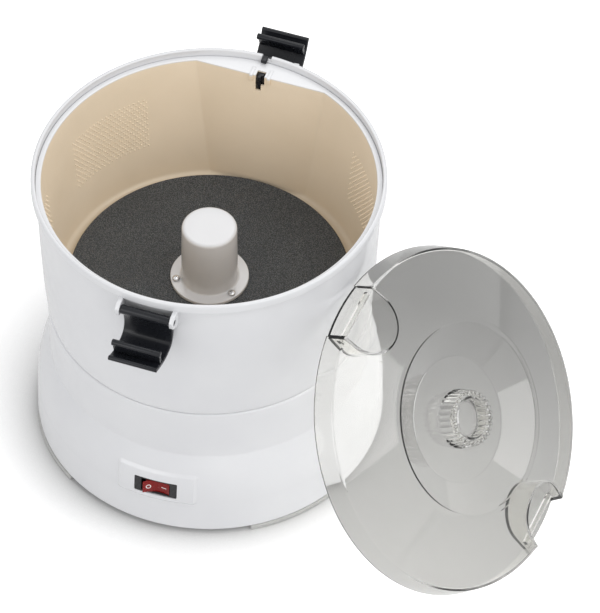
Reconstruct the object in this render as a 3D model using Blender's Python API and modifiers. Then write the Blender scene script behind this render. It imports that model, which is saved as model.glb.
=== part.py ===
# Electric potato peeler: motor base, drum with liner, peeling disc, two lid clips and a clear lid.
# The origin is the centre of the base plate's underside, +Z is up and the switch is at the front, -Y.

import bmesh
import bpy
from math import acos, atan2, ceil, cos, degrees, hypot, pi, radians, sin, sqrt, tan
from mathutils import Matrix, Vector

MM = 0.001

# General fits
GAP = 0.3 * MM              # between pieces that touch or seat
OVERRUN = 1 * MM            # how far a cutter passes a face
SINK = 0.4 * MM             # how far a joined shape reaches into its neighbour
ROUND_STEPS = 60            # facets on the large turned shells
SMALL_STEPS = 20            # facets on shafts, bushes and bosses
PLAIN_STEPS = 12            # facets on pillars, pins and small rods
SCREW_STEPS = 8            # facets on screws

# Leading sizes of the machine: the rim's radius, its height and the deck's height
RIM_RADIUS = 119.7 * MM
RIM_Z = 228 * MM
DECK_Z = 109.3 * MM

# Radii that follow the rim
RIM_WIDTH = 2.9 * MM
RIM_INNER_RADIUS = RIM_RADIUS - RIM_WIDTH
RIM_OVERHANG = 3.1 * MM
DRUM_TOP_RADIUS = RIM_RADIUS - RIM_OVERHANG
DRUM_SPREAD = 6.3 * MM      # from the drum's foot to its top
DRUM_FOOT_RADIUS = DRUM_TOP_RADIUS - DRUM_SPREAD
COLLAR_LIP = 1.2 * MM       # how far the collar stands outside the drum's foot
COLLAR_RADIUS = DRUM_FOOT_RADIUS + COLLAR_LIP
SKIRT_SPREAD = 9.2 * MM
SHOULDER_RADIUS = COLLAR_RADIUS + SKIRT_SPREAD
SKIRT_DRAFT = 0.8 * MM
BASE_RADIUS = SHOULDER_RADIUS + SKIRT_DRAFT     # at the bottom edge
DRIVE_UNITS = 111.5         # the drive and the lid's rings are drawn in this many units to the collar's radius
DRIVE_UNIT = COLLAR_RADIUS / DRIVE_UNITS

# Base shell and plate
SHOULDER_Z = 27 * MM
COLLAR_HEIGHT = 42.8 * MM
FLARE_TOP_Z = DECK_Z - COLLAR_HEIGHT
COLLAR_ROUNDING = 2 * MM
FLARE_STATIONS = 4
BASE_EDGE_Z = 0
BASE_WALL = 2.6 * MM
BASE_RIM_WIDTH = 9.6 * MM   # the skirt's inward flange, which the foot pads sit under
PLATE_THICKNESS = 3.2 * MM
PLATE_CLEARANCE = 0.3 * MM
VENT_COUNT = 7
VENT_LENGTH = 40 * MM
VENT_WIDTH = 3 * MM
VENT_PITCH = 8 * MM

# Foot pads
FOOT_HEIGHT = 4 * MM
FOOT_PROUD = 0.8 * MM       # how far a pad stands outside the base edge
FOOT_WIDTH = 10 * MM
FOOT_ARC = radians(30)
FOOT_AZIMUTHS = [radians(a) for a in (-48, 48, 132, -132)]
FOOT_NAMES = ["foot_front_left", "foot_front_right", "foot_rear_right", "foot_rear_left"]

# Screws
SCREW_SHANK = 1.6 * MM
SCREW_HEAD = 3.4 * MM
SCREW_HEAD_HEIGHT = 2.2 * MM
SCREW_BITE = 12 * MM        # depth in a boss
BASE_SCREW_HEAD = 3 * MM
BASE_SCREW_HEAD_HEIGHT = 1.3 * MM
BASE_SCREW_RECESS = 1.8 * MM
BOSS_RADIUS = 4 * MM
PILLAR_INSET = 5.5 * MM     # from the collar's radius
PILLAR_RING = COLLAR_RADIUS - PILLAR_INSET
PILLAR_RISE = 8.5 * MM      # above the flare's top
PILLAR_TOP_Z = FLARE_TOP_Z + PILLAR_RISE
PILLAR_AZIMUTHS = [radians(a) for a in (-20, 20, 160, -160)]

# Switch, on a raised pad a little to the right of the front
SWITCH_AZIMUTH = radians(1.7)
PAD_WIDTH = 58 * MM
PAD_LOW_Z = 25 * MM
PAD_HIGH_Z = 52.5 * MM
PAD_PROUD = 1.4 * MM
PAD_CHAMFER = 0.7 * MM
PAD_STATIONS = 3
SWITCH_Z = 37.5 * MM
SWITCH_WIDTH = 30 * MM
SWITCH_HEIGHT = 12.9 * MM
SWITCH_DEPTH = 17 * MM
ROCKER_WIDTH = 18.8 * MM
ROCKER_HEIGHT = 10.2 * MM
ROCKER_WELL = 8.5 * MM
ROCKER_SIDE_CLEARANCE = 0.9 * MM
ROCKER_PIVOT_DEPTH = 2.6 * MM
ROCKER_LOBE = 3.4 * MM      # lobe height above the pivot
ROCKER_DIP = 1.6 * MM       # middle height above the pivot
ROCKER_BELLY = 3.2 * MM     # depth below the pivot
ROCKER_TILT = radians(11)

# Cord gland, at the back
GLAND_Z = 17 * MM           # above the table-side face
GLAND_BORE = 3.6 * MM
GLAND_BODY = 5.4 * MM
GLAND_FLANGE = 8 * MM
GLAND_FLANGE_THICKNESS = 2 * MM
GLAND_LENGTH = 9 * MM

# Drive plate, hung under the deck
DRIVE_PLATE_DROP = 25.3 * MM
DRIVE_PLATE_Z = DECK_Z - DRIVE_PLATE_DROP
DRIVE_PLATE_THICKNESS = 2 * MM
DRIVE_PLATE_LEFT = -72 * DRIVE_UNIT
DRIVE_PLATE_RIGHT = 54 * DRIVE_UNIT
DRIVE_PLATE_HALF_DEPTH = 36 * DRIVE_UNIT
DRIVE_PLATE_EDGE = 6 * MM   # from a fixing screw to the plate's edge

# Output shaft and its bearings
SHAFT_RADIUS = 5 * MM
BUSH_RADIUS = 8.3 * MM
BUSH_FLANGE = 11 * MM
BUSH_FLANGE_THICKNESS = 1.8 * MM
BOSS_HEIGHT = 8.3 * MM
BOSS_LOW_Z = DECK_Z - BOSS_HEIGHT
LOWER_BUSH_DROP = 4.5 * MM  # below the drive plate
LOWER_BUSH_LOW_Z = DRIVE_PLATE_Z - LOWER_BUSH_DROP
SHAFT_FOOT = 3 * MM         # below the lower bush
SHAFT_LOW_Z = LOWER_BUSH_LOW_Z - SHAFT_FOOT
CLIP_RING_THICKNESS = 1.2 * MM
CLIP_RING_RADIUS = 8 * MM

# Gears and motor
GEAR_MODULE = 1.25 * DRIVE_UNIT
GEAR_TEETH = 60
PINION_TEETH = 12
PRESSURE_ANGLE = radians(25)
TOOTH_BACKLASH = 0.35 * MM
ADDENDUM_SHARE = 0.8
DEDENDUM_SHARE = 1.15
GEAR_FLANK_SHARES = (0, 1)
PINION_FLANK_SHARES = (0, 0.5, 1)
GEAR_HUB = 10 * MM
GEAR_WIDTH = 8.5 * MM
PINION_WIDTH = 10 * MM
MOTOR_SHAFT_RADIUS = 3 * MM
PINION_HOLE = 10 * MM
AIR_GAP = 0.5 * MM
STATOR_BORE = 17.4 * DRIVE_UNIT
ROTOR_RADIUS = STATOR_BORE - AIR_GAP
STATOR_LOW_Z = 42 * MM
STATOR_DROP = 12 * MM       # below the drive plate
STATOR_TOP_Z = DRIVE_PLATE_Z - STATOR_DROP
STATOR_HEIGHT = STATOR_TOP_Z - STATOR_LOW_Z
STATOR_HALF_DEPTH = 30 * DRIVE_UNIT
STATOR_FRONT = 22 * DRIVE_UNIT    # from the motor's axis towards the output shaft
STATOR_BACK = 47 * DRIVE_UNIT     # from the motor's axis to the far side of the coil limb
LIMB_WIDTH = 10 * DRIVE_UNIT
WINDOW_WIDTH = 16 * DRIVE_UNIT
WINDOW_HALF_DEPTH = 20 * DRIVE_UNIT
COIL_WALL = 6 * DRIVE_UNIT
BRACKET_WIDTH = 16 * MM
BRACKET_THICKNESS = 3 * MM
BRACKET_RISE = 11.4 * MM
BRACKET_BOSS = 7 * MM
MOTOR_SCREW_INSET = 4 * MM
MOTOR_SCREW_OFFSET = STATOR_HALF_DEPTH - MOTOR_SCREW_INSET
ROTOR_FOOT = 30 * MM        # below the stator
ROTOR_LOW_Z = STATOR_LOW_Z - ROTOR_FOOT
FAN_RADIUS = 24 * DRIVE_UNIT
FAN_HUB = 7 * MM
FAN_HEIGHT = 12 * MM
FAN_DISC = 1.6 * MM
FAN_BLADE = 1.4 * MM
FAN_BLADES = 7
FAN_DROP = 29 * MM          # below the stator
FAN_LOW_Z = STATOR_LOW_Z - FAN_DROP

# Drum
SEAM_Z = DECK_Z + GAP
DRUM_WALL = 1.7 * MM
DRUM_SWELL_SHARE = 0.45     # the wall's radius grows as this power of its height
DRUM_STATIONS = 5
RIM_HEIGHT = 6.5 * MM
RIM_UNDERCUT = 1.5 * MM
RIM_ROUNDING = 0.8 * MM
DRUM_FLANGE_WIDTH = 12.3 * MM
DRUM_FLANGE_INNER = DRUM_FOOT_RADIUS - DRUM_FLANGE_WIDTH
DRUM_FLANGE_THICKNESS = 2.6 * MM
RIM_NOTCH_WIDTH = 7 * MM
RIM_NOTCH_DEPTH = 4 * MM
BOWL_SCREW_INSET = 4 * MM   # from the flange's inner edge
BOWL_SCREW_RING = DRUM_FLANGE_INNER + BOWL_SCREW_INSET
BOWL_SCREW_AZIMUTHS = [radians(a) for a in (45, 135, -135, -45)]

# Liner
LEDGE_DROP = 5.2 * MM       # below the rim
LINER_TOP_Z = RIM_Z - LEDGE_DROP
LEDGE_WIDTH = 3.8 * MM
LINER_RADIUS = RIM_INNER_RADIUS - LEDGE_WIDTH       # inside, at the top
LINER_TAPER = 8.5 * MM
LINER_FLOOR_RADIUS = LINER_RADIUS - LINER_TAPER
LINER_WALL = 1.6 * MM
LINER_FLANGE_THICKNESS = 1.6 * MM
LINER_FLOOR_THICKNESS = 2 * MM
SEAL_ROOM = 6.9 * MM        # from the drum's flange to the liner's floor
LINER_FLOOR_Z = SEAM_Z + SEAL_ROOM + LINER_FLOOR_THICKNESS      # upper face of the floor
LINER_COVE = 4 * MM
CHIMNEY_WALL = 2.2 * MM
CHIMNEY_BORE = 8.8 * MM
CHIMNEY_RADIUS = CHIMNEY_BORE + CHIMNEY_WALL
CHIMNEY_HEIGHT = 31.5 * MM
CHIMNEY_TOP_Z = LINER_FLOOR_Z + CHIMNEY_HEIGHT
FACET_SHELF = 10 * MM       # how far the facet stands in front of the round wall, at the top
FACET_STEP = 6 * MM         # and at the floor
FACET_TOP = LINER_RADIUS - FACET_SHELF              # distance of the flat facet from the axis
FACET_FLOOR = LINER_FLOOR_RADIUS - FACET_STEP
SEAL_HEIGHT = 5.5 * MM

# Lid interlock
ROD_RADIUS = 1.8 * MM
ROD_OFFSET = 3.2 * MM       # behind the facet's top
ROD_RING = FACET_TOP + ROD_OFFSET
ROD_JOG = 2 * MM
ROD_FOOT_RING = ROD_RING - ROD_JOG
ROD_CLEARANCE = 0.5 * MM
ROD_TRAVEL = 3 * MM
HEAD_WIDTH = 4 * MM
HEAD_DROP = 1.3 * MM        # below the liner's ledge
HEAD_TOP_Z = LINER_TOP_Z - HEAD_DROP
HEAD_HEIGHT = 7.5 * MM
ROD_TOP_Z = HEAD_TOP_Z - HEAD_HEIGHT
HEAD_REACH = 3.6 * MM       # from the rod's axis towards the bowl
SLOT_WIDTH = 6.4 * MM
SPRING_RADIUS = 2.65 * MM
SPRING_WIRE = 0.45 * MM
SPRING_TURNS = 8
SPRING_LENGTH = 16 * MM
SPRING_POINTS = 8           # points in one turn
ROD_COLLAR = 3.1 * MM
ROD_COLLAR_THICKNESS = 2.4 * MM
MICROSWITCH_WIDTH = 20 * MM
MICROSWITCH_HEIGHT = 10 * MM
MICROSWITCH_DEPTH = 6.4 * MM
MICROSWITCH_DROP = 13.3 * MM
MICROSWITCH_TOP_Z = DECK_Z - MICROSWITCH_DROP
BUTTON_RADIUS = 1.5 * MM
BUTTON_HEIGHT = 3.4 * MM
BUTTON_WELL = 4.2 * MM
BRACKET_RIB = 5 * MM

# Peeling disc and hub cap
DISC_CLEARANCE = 7.5 * MM   # from the liner's floor edge
DISC_RADIUS = LINER_FLOOR_RADIUS - DISC_CLEARANCE
DISC_HOLE = 14 * MM
DISC_THICKNESS = 3.5 * MM
DISC_LIFT = 3 * MM          # over the liner's floor
DISC_Z = LINER_FLOOR_Z + DISC_LIFT + DISC_THICKNESS     # upper face
DISC_CHAMFER = 0.9 * MM
HUB_RADIUS = 18.9 * MM
HUB_DRAFT = 0.7 * MM
HUB_FOOT_RADIUS = HUB_RADIUS + HUB_DRAFT
HUB_HEIGHT = 51.3 * MM
HUB_TOP_Z = DISC_Z + HUB_HEIGHT
HUB_ROUNDING = 2.4 * MM
HUB_WALL = 2.4 * MM
HUB_STEPS = 30
HUB_FLANGE_WIDTH = 7.4 * MM
HUB_FLANGE_RADIUS = HUB_FOOT_RADIUS + HUB_FLANGE_WIDTH
HUB_FLANGE_THICKNESS = 2.4 * MM
WAVE_COUNT = 3
WAVE_EDGE = 8 * MM          # from a wave's ends to the hub's flange and to the disc's edge
WAVE_HALF_LENGTH = (DISC_RADIUS - HUB_FLANGE_RADIUS) / 2 - WAVE_EDGE
WAVE_RING = (DISC_RADIUS + HUB_FLANGE_RADIUS) / 2
WAVE_HALF_WIDTH = 10 * MM
WAVE_HEIGHT = 3.2 * MM
SOCKET_RADIUS = 11.5 * MM
DOG_RADIUS = 7.6 * MM       # across corners
DOG_CLEARANCE = 1.5 * MM    # over the chimney
DOG_HEIGHT = 11.5 * MM
DOG_LOW_Z = CHIMNEY_TOP_Z + DOG_CLEARANCE
DOG_HIGH_Z = DOG_LOW_Z + DOG_HEIGHT
SOCKET_LOW_Z = DOG_LOW_Z + DOG_CLEARANCE
SHAFT_BITE = 6.5 * MM       # of the shaft in the dog
SHAFT_HIGH_Z = DOG_LOW_Z + SHAFT_BITE
DISC_SCREW_INSET = 3.7 * MM
DISC_SCREW_RING = HUB_FLANGE_RADIUS - DISC_SCREW_INSET
DISC_SCREW_COUNT = 3
DISC_SCREW_HEAD = 2.6 * MM
DISC_SCREW_SHANK = 1.3 * MM
DISC_SCREW_HEAD_HEIGHT = 1.5 * MM

# Lid clips
HINGE_OFFSET = 3.9 * MM
HINGE_RING = RIM_RADIUS + HINGE_OFFSET      # distance of a clip's hinge from the machine's axis
HINGE_DROP = 11 * MM        # below the rim
HINGE_Z = RIM_Z - HINGE_DROP
CLIP_WIDTH = 34 * MM
CLIP_WALL = 2.8 * MM
CLIP_BACK = 5.6 * MM        # the plate's middle line lies this far behind the hinge
CLIP_DROP = 27.2 * MM       # and its lowest bend this far below it
CLIP_REACH = 24.9 * MM      # the finger lip's end, outwards from the hinge
CLIP_LIP_RISE = 5.4 * MM    # the finger lip's end above the lowest bend
HOOK_REACH = 17.6 * MM
HOOK_DROP = 14.1 * MM
HOOK_BAR = 2.2 * MM
BARREL_RADIUS = 3.2 * MM
TRUNNION_RADIUS = 1.9 * MM
EAR_THICKNESS = 3 * MM
EAR_SIDE_CLEARANCE = 0.4 * MM
EAR_OVERHANG = 3.6 * MM     # beyond the hinge
EAR_REACH = HINGE_RING + EAR_OVERHANG
EAR_DROP = 5 * MM
EAR_LOW_Z = HINGE_Z - EAR_DROP
EAR_RISE = 3.6 * MM
EAR_HIGH_Z = HINGE_Z + EAR_RISE
EAR_ROUNDING = 2.5 * MM
REAR_CLIP_TURN = radians(34)
CLIP_BACK_SHARES = [(0, 0), (0.62, 0.22), (1, 0.48), (1, 0.74), (0.45, 0.94)]
CLIP_LIP_SHARES = [(0.16, 0), (0.48, 0.12), (0.76, 0.52), (1, 1)]

# Lid, in its own frame: rim plane at z = 0, outer side up
LID_INSET = 0.8 * MM        # inside the rim
LID_RADIUS = RIM_RADIUS - LID_INSET
LID_DRAFT = 2.8 * MM
LID_CORNER_RADIUS = LID_RADIUS - LID_DRAFT
LID_CORNER_Z = 15.4 * MM
LID_CORNER_ROUNDING = 1.6 * MM
LID_CREST_RADIUS = 67 * DRIVE_UNIT
LID_CREST_Z = 28.2 * MM
LID_CREST_WIDTH = 4 * MM
LID_RECESS_RADIUS = 42.6 * DRIVE_UNIT
LID_RECESS_Z = 17.7 * MM
LID_WALL = 1.8 * MM
CUP_FOOT_RADIUS = 20 * MM
CUP_RADIUS = 18.5 * MM
CUP_TOP_Z = 31 * MM
CUP_BORE = 13.4 * MM
CUP_WELL_RADIUS = 11.5 * MM
CUP_WELL_Z = 24.5 * MM
POCKET_DEPTH = 37.9 * MM
POCKET_INNER = LID_RADIUS - POCKET_DEPTH    # the pocket's inner end, from the lid's axis
POCKET_WIDTH = 45 * MM
POCKET_FLOOR_Z = 3.2 * MM
POCKET_BAR_INSET = 9.9 * MM
POCKET_BAR_RING = LID_RADIUS - POCKET_BAR_INSET
POCKET_BAR_HEIGHT = 3 * MM
POCKET_BAR_WIDTH = 3 * MM
POCKET_BAR_Z = 5.5 * MM
LID_TILT = radians(54.1)    # of the lid's plane, from level
LID_AZIMUTH = radians(-13.3)
LID_SPIN = radians(11.6)

# Materials: colour, roughness, metallic
FINISHES = {
    "white_plastic": ((0.83, 0.83, 0.84), 0.28, 0.0),
    "liner_plastic": ((0.80, 0.76, 0.70), 0.35, 0.0),
    "black_plastic": ((0.015, 0.016, 0.018), 0.35, 0.0),
    "grey_plastic": ((0.05, 0.05, 0.055), 0.45, 0.0),
    "red_plastic": ((0.45, 0.01, 0.01), 0.25, 0.0),
    "clear_plastic": ((0.75, 0.75, 0.73), 0.08, 0.0),
    "foot_rubber": ((0.55, 0.55, 0.53), 0.7, 0.0),
    "seal_rubber": ((0.04, 0.04, 0.04), 0.6, 0.0),
    "sheet_steel": ((0.55, 0.56, 0.57), 0.35, 1.0),
    "lamination_steel": ((0.22, 0.22, 0.23), 0.5, 1.0),
    "bright_steel": ((0.70, 0.70, 0.71), 0.22, 1.0),
    "copper_winding": ((0.60, 0.27, 0.10), 0.4, 1.0),
    "bronze": ((0.55, 0.40, 0.20), 0.35, 1.0),
    "gear_nylon": ((0.75, 0.73, 0.66), 0.4, 0.0),
    "abrasive_disc": ((0.30, 0.33, 0.36), 0.6, 0.2),
}


def clear_scene():
    for obj in list(bpy.data.objects):
        bpy.data.objects.remove(obj, do_unlink=True)


def make_collection(name):
    collection = bpy.data.collections.new(name)
    bpy.context.scene.collection.children.link(collection)
    return collection


def make_material(name):
    colour, roughness, metallic = FINISHES[name]
    material = bpy.data.materials.new(name)
    material.use_nodes = True
    shader = material.node_tree.nodes["Principled BSDF"]
    shader.inputs["Base Color"].default_value = (*colour, 1)
    shader.inputs["Roughness"].default_value = roughness
    shader.inputs["Metallic"].default_value = metallic
    material.diffuse_color = (*colour, 1)
    return material


clear_scene()
PARTS = make_collection("electric_potato_peeler")
CUTTERS = make_collection("cutters")
MATERIALS = {name: make_material(name) for name in FINISHES}


# Making objects

def add_object(name, mesh, finish):
    """A part where a finish is named, and otherwise a cutter or a guide."""
    obj = bpy.data.objects.new(name, mesh)
    if finish:
        mesh.materials.append(MATERIALS[finish])
        PARTS.objects.link(obj)
    else:
        CUTTERS.objects.link(obj)
        obj.hide_render = True
        obj.display_type = "WIRE"
    return obj


def mesh_from(bm, name):
    bmesh.ops.recalc_face_normals(bm, faces=bm.faces)
    mesh = bpy.data.meshes.new(name)
    bm.to_mesh(mesh)
    bm.free()
    mesh.shade_smooth()
    mesh.set_sharp_from_angle(angle=radians(35))
    return mesh


def box(name, low, high, finish=None):
    low, high = Vector(low), Vector(high)
    bm = bmesh.new()
    bmesh.ops.create_cube(bm, size=1)
    bmesh.ops.scale(bm, vec=high - low, verts=bm.verts)
    obj = add_object(name, mesh_from(bm, name), finish)
    obj.location = (low + high) / 2
    return obj


def cylinder(name, radius, low, high, finish=None, steps=SMALL_STEPS, at=(0, 0)):
    """Upright, between two heights."""
    bm = bmesh.new()
    bmesh.ops.create_cone(bm, cap_ends=True, segments=steps, radius1=radius, radius2=radius, depth=high - low)
    obj = add_object(name, mesh_from(bm, name), finish)
    obj.location = (at[0], at[1], (low + high) / 2)
    return obj


def bar(name, radius, half_length, centre, finish=None, steps=SMALL_STEPS):
    """A cylinder along X."""
    obj = cylinder(name, radius, -half_length, half_length, finish, steps)
    obj.rotation_euler = (0, pi / 2, 0)
    obj.location = centre
    return obj


def turned(name, profile, finish=None, steps=SMALL_STEPS, closed=False, wall=None):
    """Turns a profile of (radius, height) points about Z. An open one gets its wall on the inside."""
    mesh = bpy.data.meshes.new(name)
    edges = [(i, i + 1) for i in range(len(profile) - 1)]
    if closed:
        edges.append((len(profile) - 1, 0))
    mesh.from_pydata([(r, 0, z) for r, z in profile], edges, [])
    obj = add_object(name, mesh, finish)
    screw = obj.modifiers.new("turn", "SCREW")
    screw.angle = 2 * pi
    screw.steps = steps
    screw.render_steps = steps
    screw.use_merge_vertices = True
    screw.merge_threshold = 0.01 * MM
    screw.use_smooth_shade = True
    if wall:
        shell = obj.modifiers.new("wall", "SOLIDIFY")
        shell.thickness = wall
        shell.offset = -1
        shell.use_even_offset = True
    return obj


def outline_solid(name, loops, low, high, finish=None):
    """A flat outline with its holes, as a solid between two heights."""
    curve = bpy.data.curves.new(name, "CURVE")
    curve.dimensions = "2D"
    curve.fill_mode = "BOTH"
    curve.extrude = (high - low) / 2
    for loop in loops:
        spline = curve.splines.new("POLY")
        spline.points.add(len(loop) - 1)
        for point, (x, y) in zip(spline.points, loop):
            point.co = (x, y, 0, 1)
        spline.use_cyclic_u = True
    return meshed(name, curve, finish, Matrix.Translation((0, 0, (low + high) / 2)))


def tube(name, points, radius, finish=None, sides=2):
    curve = bpy.data.curves.new(name, "CURVE")
    curve.dimensions = "3D"
    curve.bevel_depth = radius
    curve.bevel_resolution = sides
    curve.use_fill_caps = True
    spline = curve.splines.new("POLY")
    spline.points.add(len(points) - 1)
    for point, place in zip(spline.points, points):
        point.co = (*place, 1)
    return meshed(name, curve, finish, Matrix.Identity(4))


def meshed(name, curve, finish, matrix):
    """Turns a curve into a mesh object with its caps welded."""
    drawn = bpy.data.objects.new(name + "_curve", curve)
    CUTTERS.objects.link(drawn)
    depsgraph = bpy.context.evaluated_depsgraph_get()
    depsgraph.update()
    raw = bpy.data.meshes.new_from_object(drawn.evaluated_get(depsgraph))
    bpy.data.objects.remove(drawn, do_unlink=True)
    bm = bmesh.new()
    bm.from_mesh(raw)
    bpy.data.meshes.remove(raw)
    bmesh.ops.remove_doubles(bm, verts=bm.verts, dist=0.001 * MM)
    obj = add_object(name, mesh_from(bm, name), finish)
    obj.matrix_world = matrix
    return obj


def combine(target, other, operation):
    modifier = target.modifiers.new(other.name, "BOOLEAN")
    modifier.operation = operation
    modifier.solver = "EXACT"
    modifier.object = other
    return target


def cut(target, *others):
    for other in others:
        combine(target, other, "DIFFERENCE")
    return target


def join(target, *others):
    for other in others:
        combine(target, other, "UNION")
    return target


def keep_inside(target, other):
    return combine(target, other, "INTERSECT")


def bevel(obj, width, segments=2):
    modifier = obj.modifiers.new("edges", "BEVEL")
    modifier.width = width
    modifier.segments = segments
    modifier.limit_method = "ANGLE"
    return obj


def follow(obj, parent):
    """Parents an object that was placed in the parent's frame."""
    obj.parent = parent
    return obj


def empty(name, location, rotation=(0, 0, 0)):
    obj = bpy.data.objects.new(name, None)
    PARTS.objects.link(obj)
    obj.location = location
    obj.rotation_euler = rotation
    return obj


# Small geometry

def ring_point(radius, azimuth):
    """A point on a circle, with its azimuth counted from the front towards +X."""
    return radius * sin(azimuth), -radius * cos(azimuth)


def circle_points(radius, count, centre=(0, 0)):
    return [
        (centre[0] + radius * cos(2 * pi * i / count), centre[1] + radius * sin(2 * pi * i / count))
        for i in range(count)
    ]


def quarter_turn(centre, radius, start, steps=2):
    """Points of a quarter circle that runs clockwise from the start angle."""
    return [
        (centre[0] + radius * cos(start - pi / 2 * i / steps), centre[1] + radius * sin(start - pi / 2 * i / steps))
        for i in range(steps + 1)
    ]


def drum_radius(z):
    """The drum's outer radius at a height between its seam and its rim."""
    share = max(0.0, min(1.0, (z - SEAM_Z) / (RIM_Z - RIM_HEIGHT - SEAM_Z)))
    return DRUM_FOOT_RADIUS + (DRUM_TOP_RADIUS - DRUM_FOOT_RADIUS) * share ** DRUM_SWELL_SHARE


def base_radius(z):
    """The base shell's outer radius below the collar."""
    if z <= SHOULDER_Z:
        share = z / SHOULDER_Z
        return BASE_RADIUS + (SHOULDER_RADIUS - BASE_RADIUS) * share
    drop = SHOULDER_RADIUS - COLLAR_RADIUS
    rise = FLARE_TOP_Z - SHOULDER_Z
    arc = (rise ** 2 + drop ** 2) / (2 * drop)
    height = min(z, FLARE_TOP_Z) - SHOULDER_Z
    return SHOULDER_RADIUS - arc + sqrt(arc ** 2 - height ** 2)


def smooth_path(points, spans=3):
    """A Catmull-Rom curve through flat points."""
    ends = [points[0]] + list(points) + [points[-1]]
    path = []
    for a, b, c, d in zip(ends, ends[1:], ends[2:], ends[3:]):
        for i in range(spans):
            t = i / spans
            path.append(tuple(
                0.5 * (2 * q + (r - p) * t + (2 * p - 5 * q + 4 * r - s) * t ** 2 + (3 * q - p - 3 * r + s) * t ** 3)
                for p, q, r, s in zip(a, b, c, d)
            ))
    return path + [points[-1]]


def strip(path, thickness):
    """The closed outline of a strip of even thickness along a path."""
    left, right = [], []
    for i, point in enumerate(path):
        before = path[max(i - 1, 0)]
        after = path[min(i + 1, len(path) - 1)]
        along = hypot(after[0] - before[0], after[1] - before[1])
        side = (-(after[1] - before[1]) / along, (after[0] - before[0]) / along)
        left.append((point[0] + side[0] * thickness / 2, point[1] + side[1] * thickness / 2))
        right.append((point[0] - side[0] * thickness / 2, point[1] - side[1] * thickness / 2))
    return left + right[::-1]


def screw(name, at, seat, direction, length, finish="bright_steel",
          head=SCREW_HEAD, shank=SCREW_SHANK, head_height=SCREW_HEAD_HEIGHT):
    """A screw whose head rests on a seat height; direction is the way its shank runs, up or down."""
    near, far = direction * GAP, direction * length
    profile = [(0, far), (shank, far), (shank, -near), (head, -near), (head, -near - direction * head_height),
               (0, -near - direction * head_height)]
    if direction < 0:
        profile.reverse()
    obj = turned(name, profile, finish, SCREW_STEPS)
    obj.location = (at[0], at[1], seat)
    return obj


def screw_hole(name, at, low, high, radius=SCREW_SHANK + GAP):
    return cylinder(name, radius, low, high, steps=SCREW_STEPS, at=at)


# Gears

def gear_outline(teeth, phase, flank_shares):
    """Stub involute teeth; phase turns the gear so that a tooth or a gap faces +X."""
    pitch = GEAR_MODULE * teeth / 2
    base = pitch * cos(PRESSURE_ANGLE)
    outer = pitch + ADDENDUM_SHARE * GEAR_MODULE
    root = pitch - DEDENDUM_SHARE * GEAR_MODULE
    half_tooth = pi / (2 * teeth) - TOOTH_BACKLASH / (2 * pitch)
    involute = tan(PRESSURE_ANGLE) - PRESSURE_ANGLE
    radii = [max(base, root) + (outer - max(base, root)) * share for share in flank_shares]
    flank = []
    for radius in radii:
        angle = acos(min(1, base / radius))
        flank.append((radius, half_tooth + involute - (tan(angle) - angle)))
    if root < base:
        flank.insert(0, (root, flank[0][1]))
    points = []
    for tooth in range(teeth):
        middle = phase + 2 * pi * tooth / teeth
        for radius, half in flank:
            points.append((radius * cos(middle - half), radius * sin(middle - half)))
        for radius, half in reversed(flank):
            points.append((radius * cos(middle + half), radius * sin(middle + half)))
    return points


MOTOR_X = -GEAR_MODULE * (GEAR_TEETH + PINION_TEETH) / 2
GEAR_LOW_Z = DRIVE_PLATE_Z + DRIVE_PLATE_THICKNESS + GAP + BUSH_FLANGE_THICKNESS + GAP


# Base

def switch_seat():
    """An empty in the pad's window: its Y runs into the machine and it leans back with the shell."""
    front = empty("switch_front", (0, 0, 0), (0, 0, SWITCH_AZIMUTH))
    reach = SWITCH_HEIGHT / 2
    lean = atan2(base_radius(SWITCH_Z - reach) - base_radius(SWITCH_Z + reach), SWITCH_HEIGHT)
    face = sqrt((base_radius(SWITCH_Z) + PAD_PROUD) ** 2 - (SWITCH_WIDTH / 2) ** 2)
    return front, follow(empty("switch_seat", (0, -face, SWITCH_Z), (-lean, 0, 0)), front)


SWITCH_FRONT, SWITCH_SEAT = switch_seat()


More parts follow.
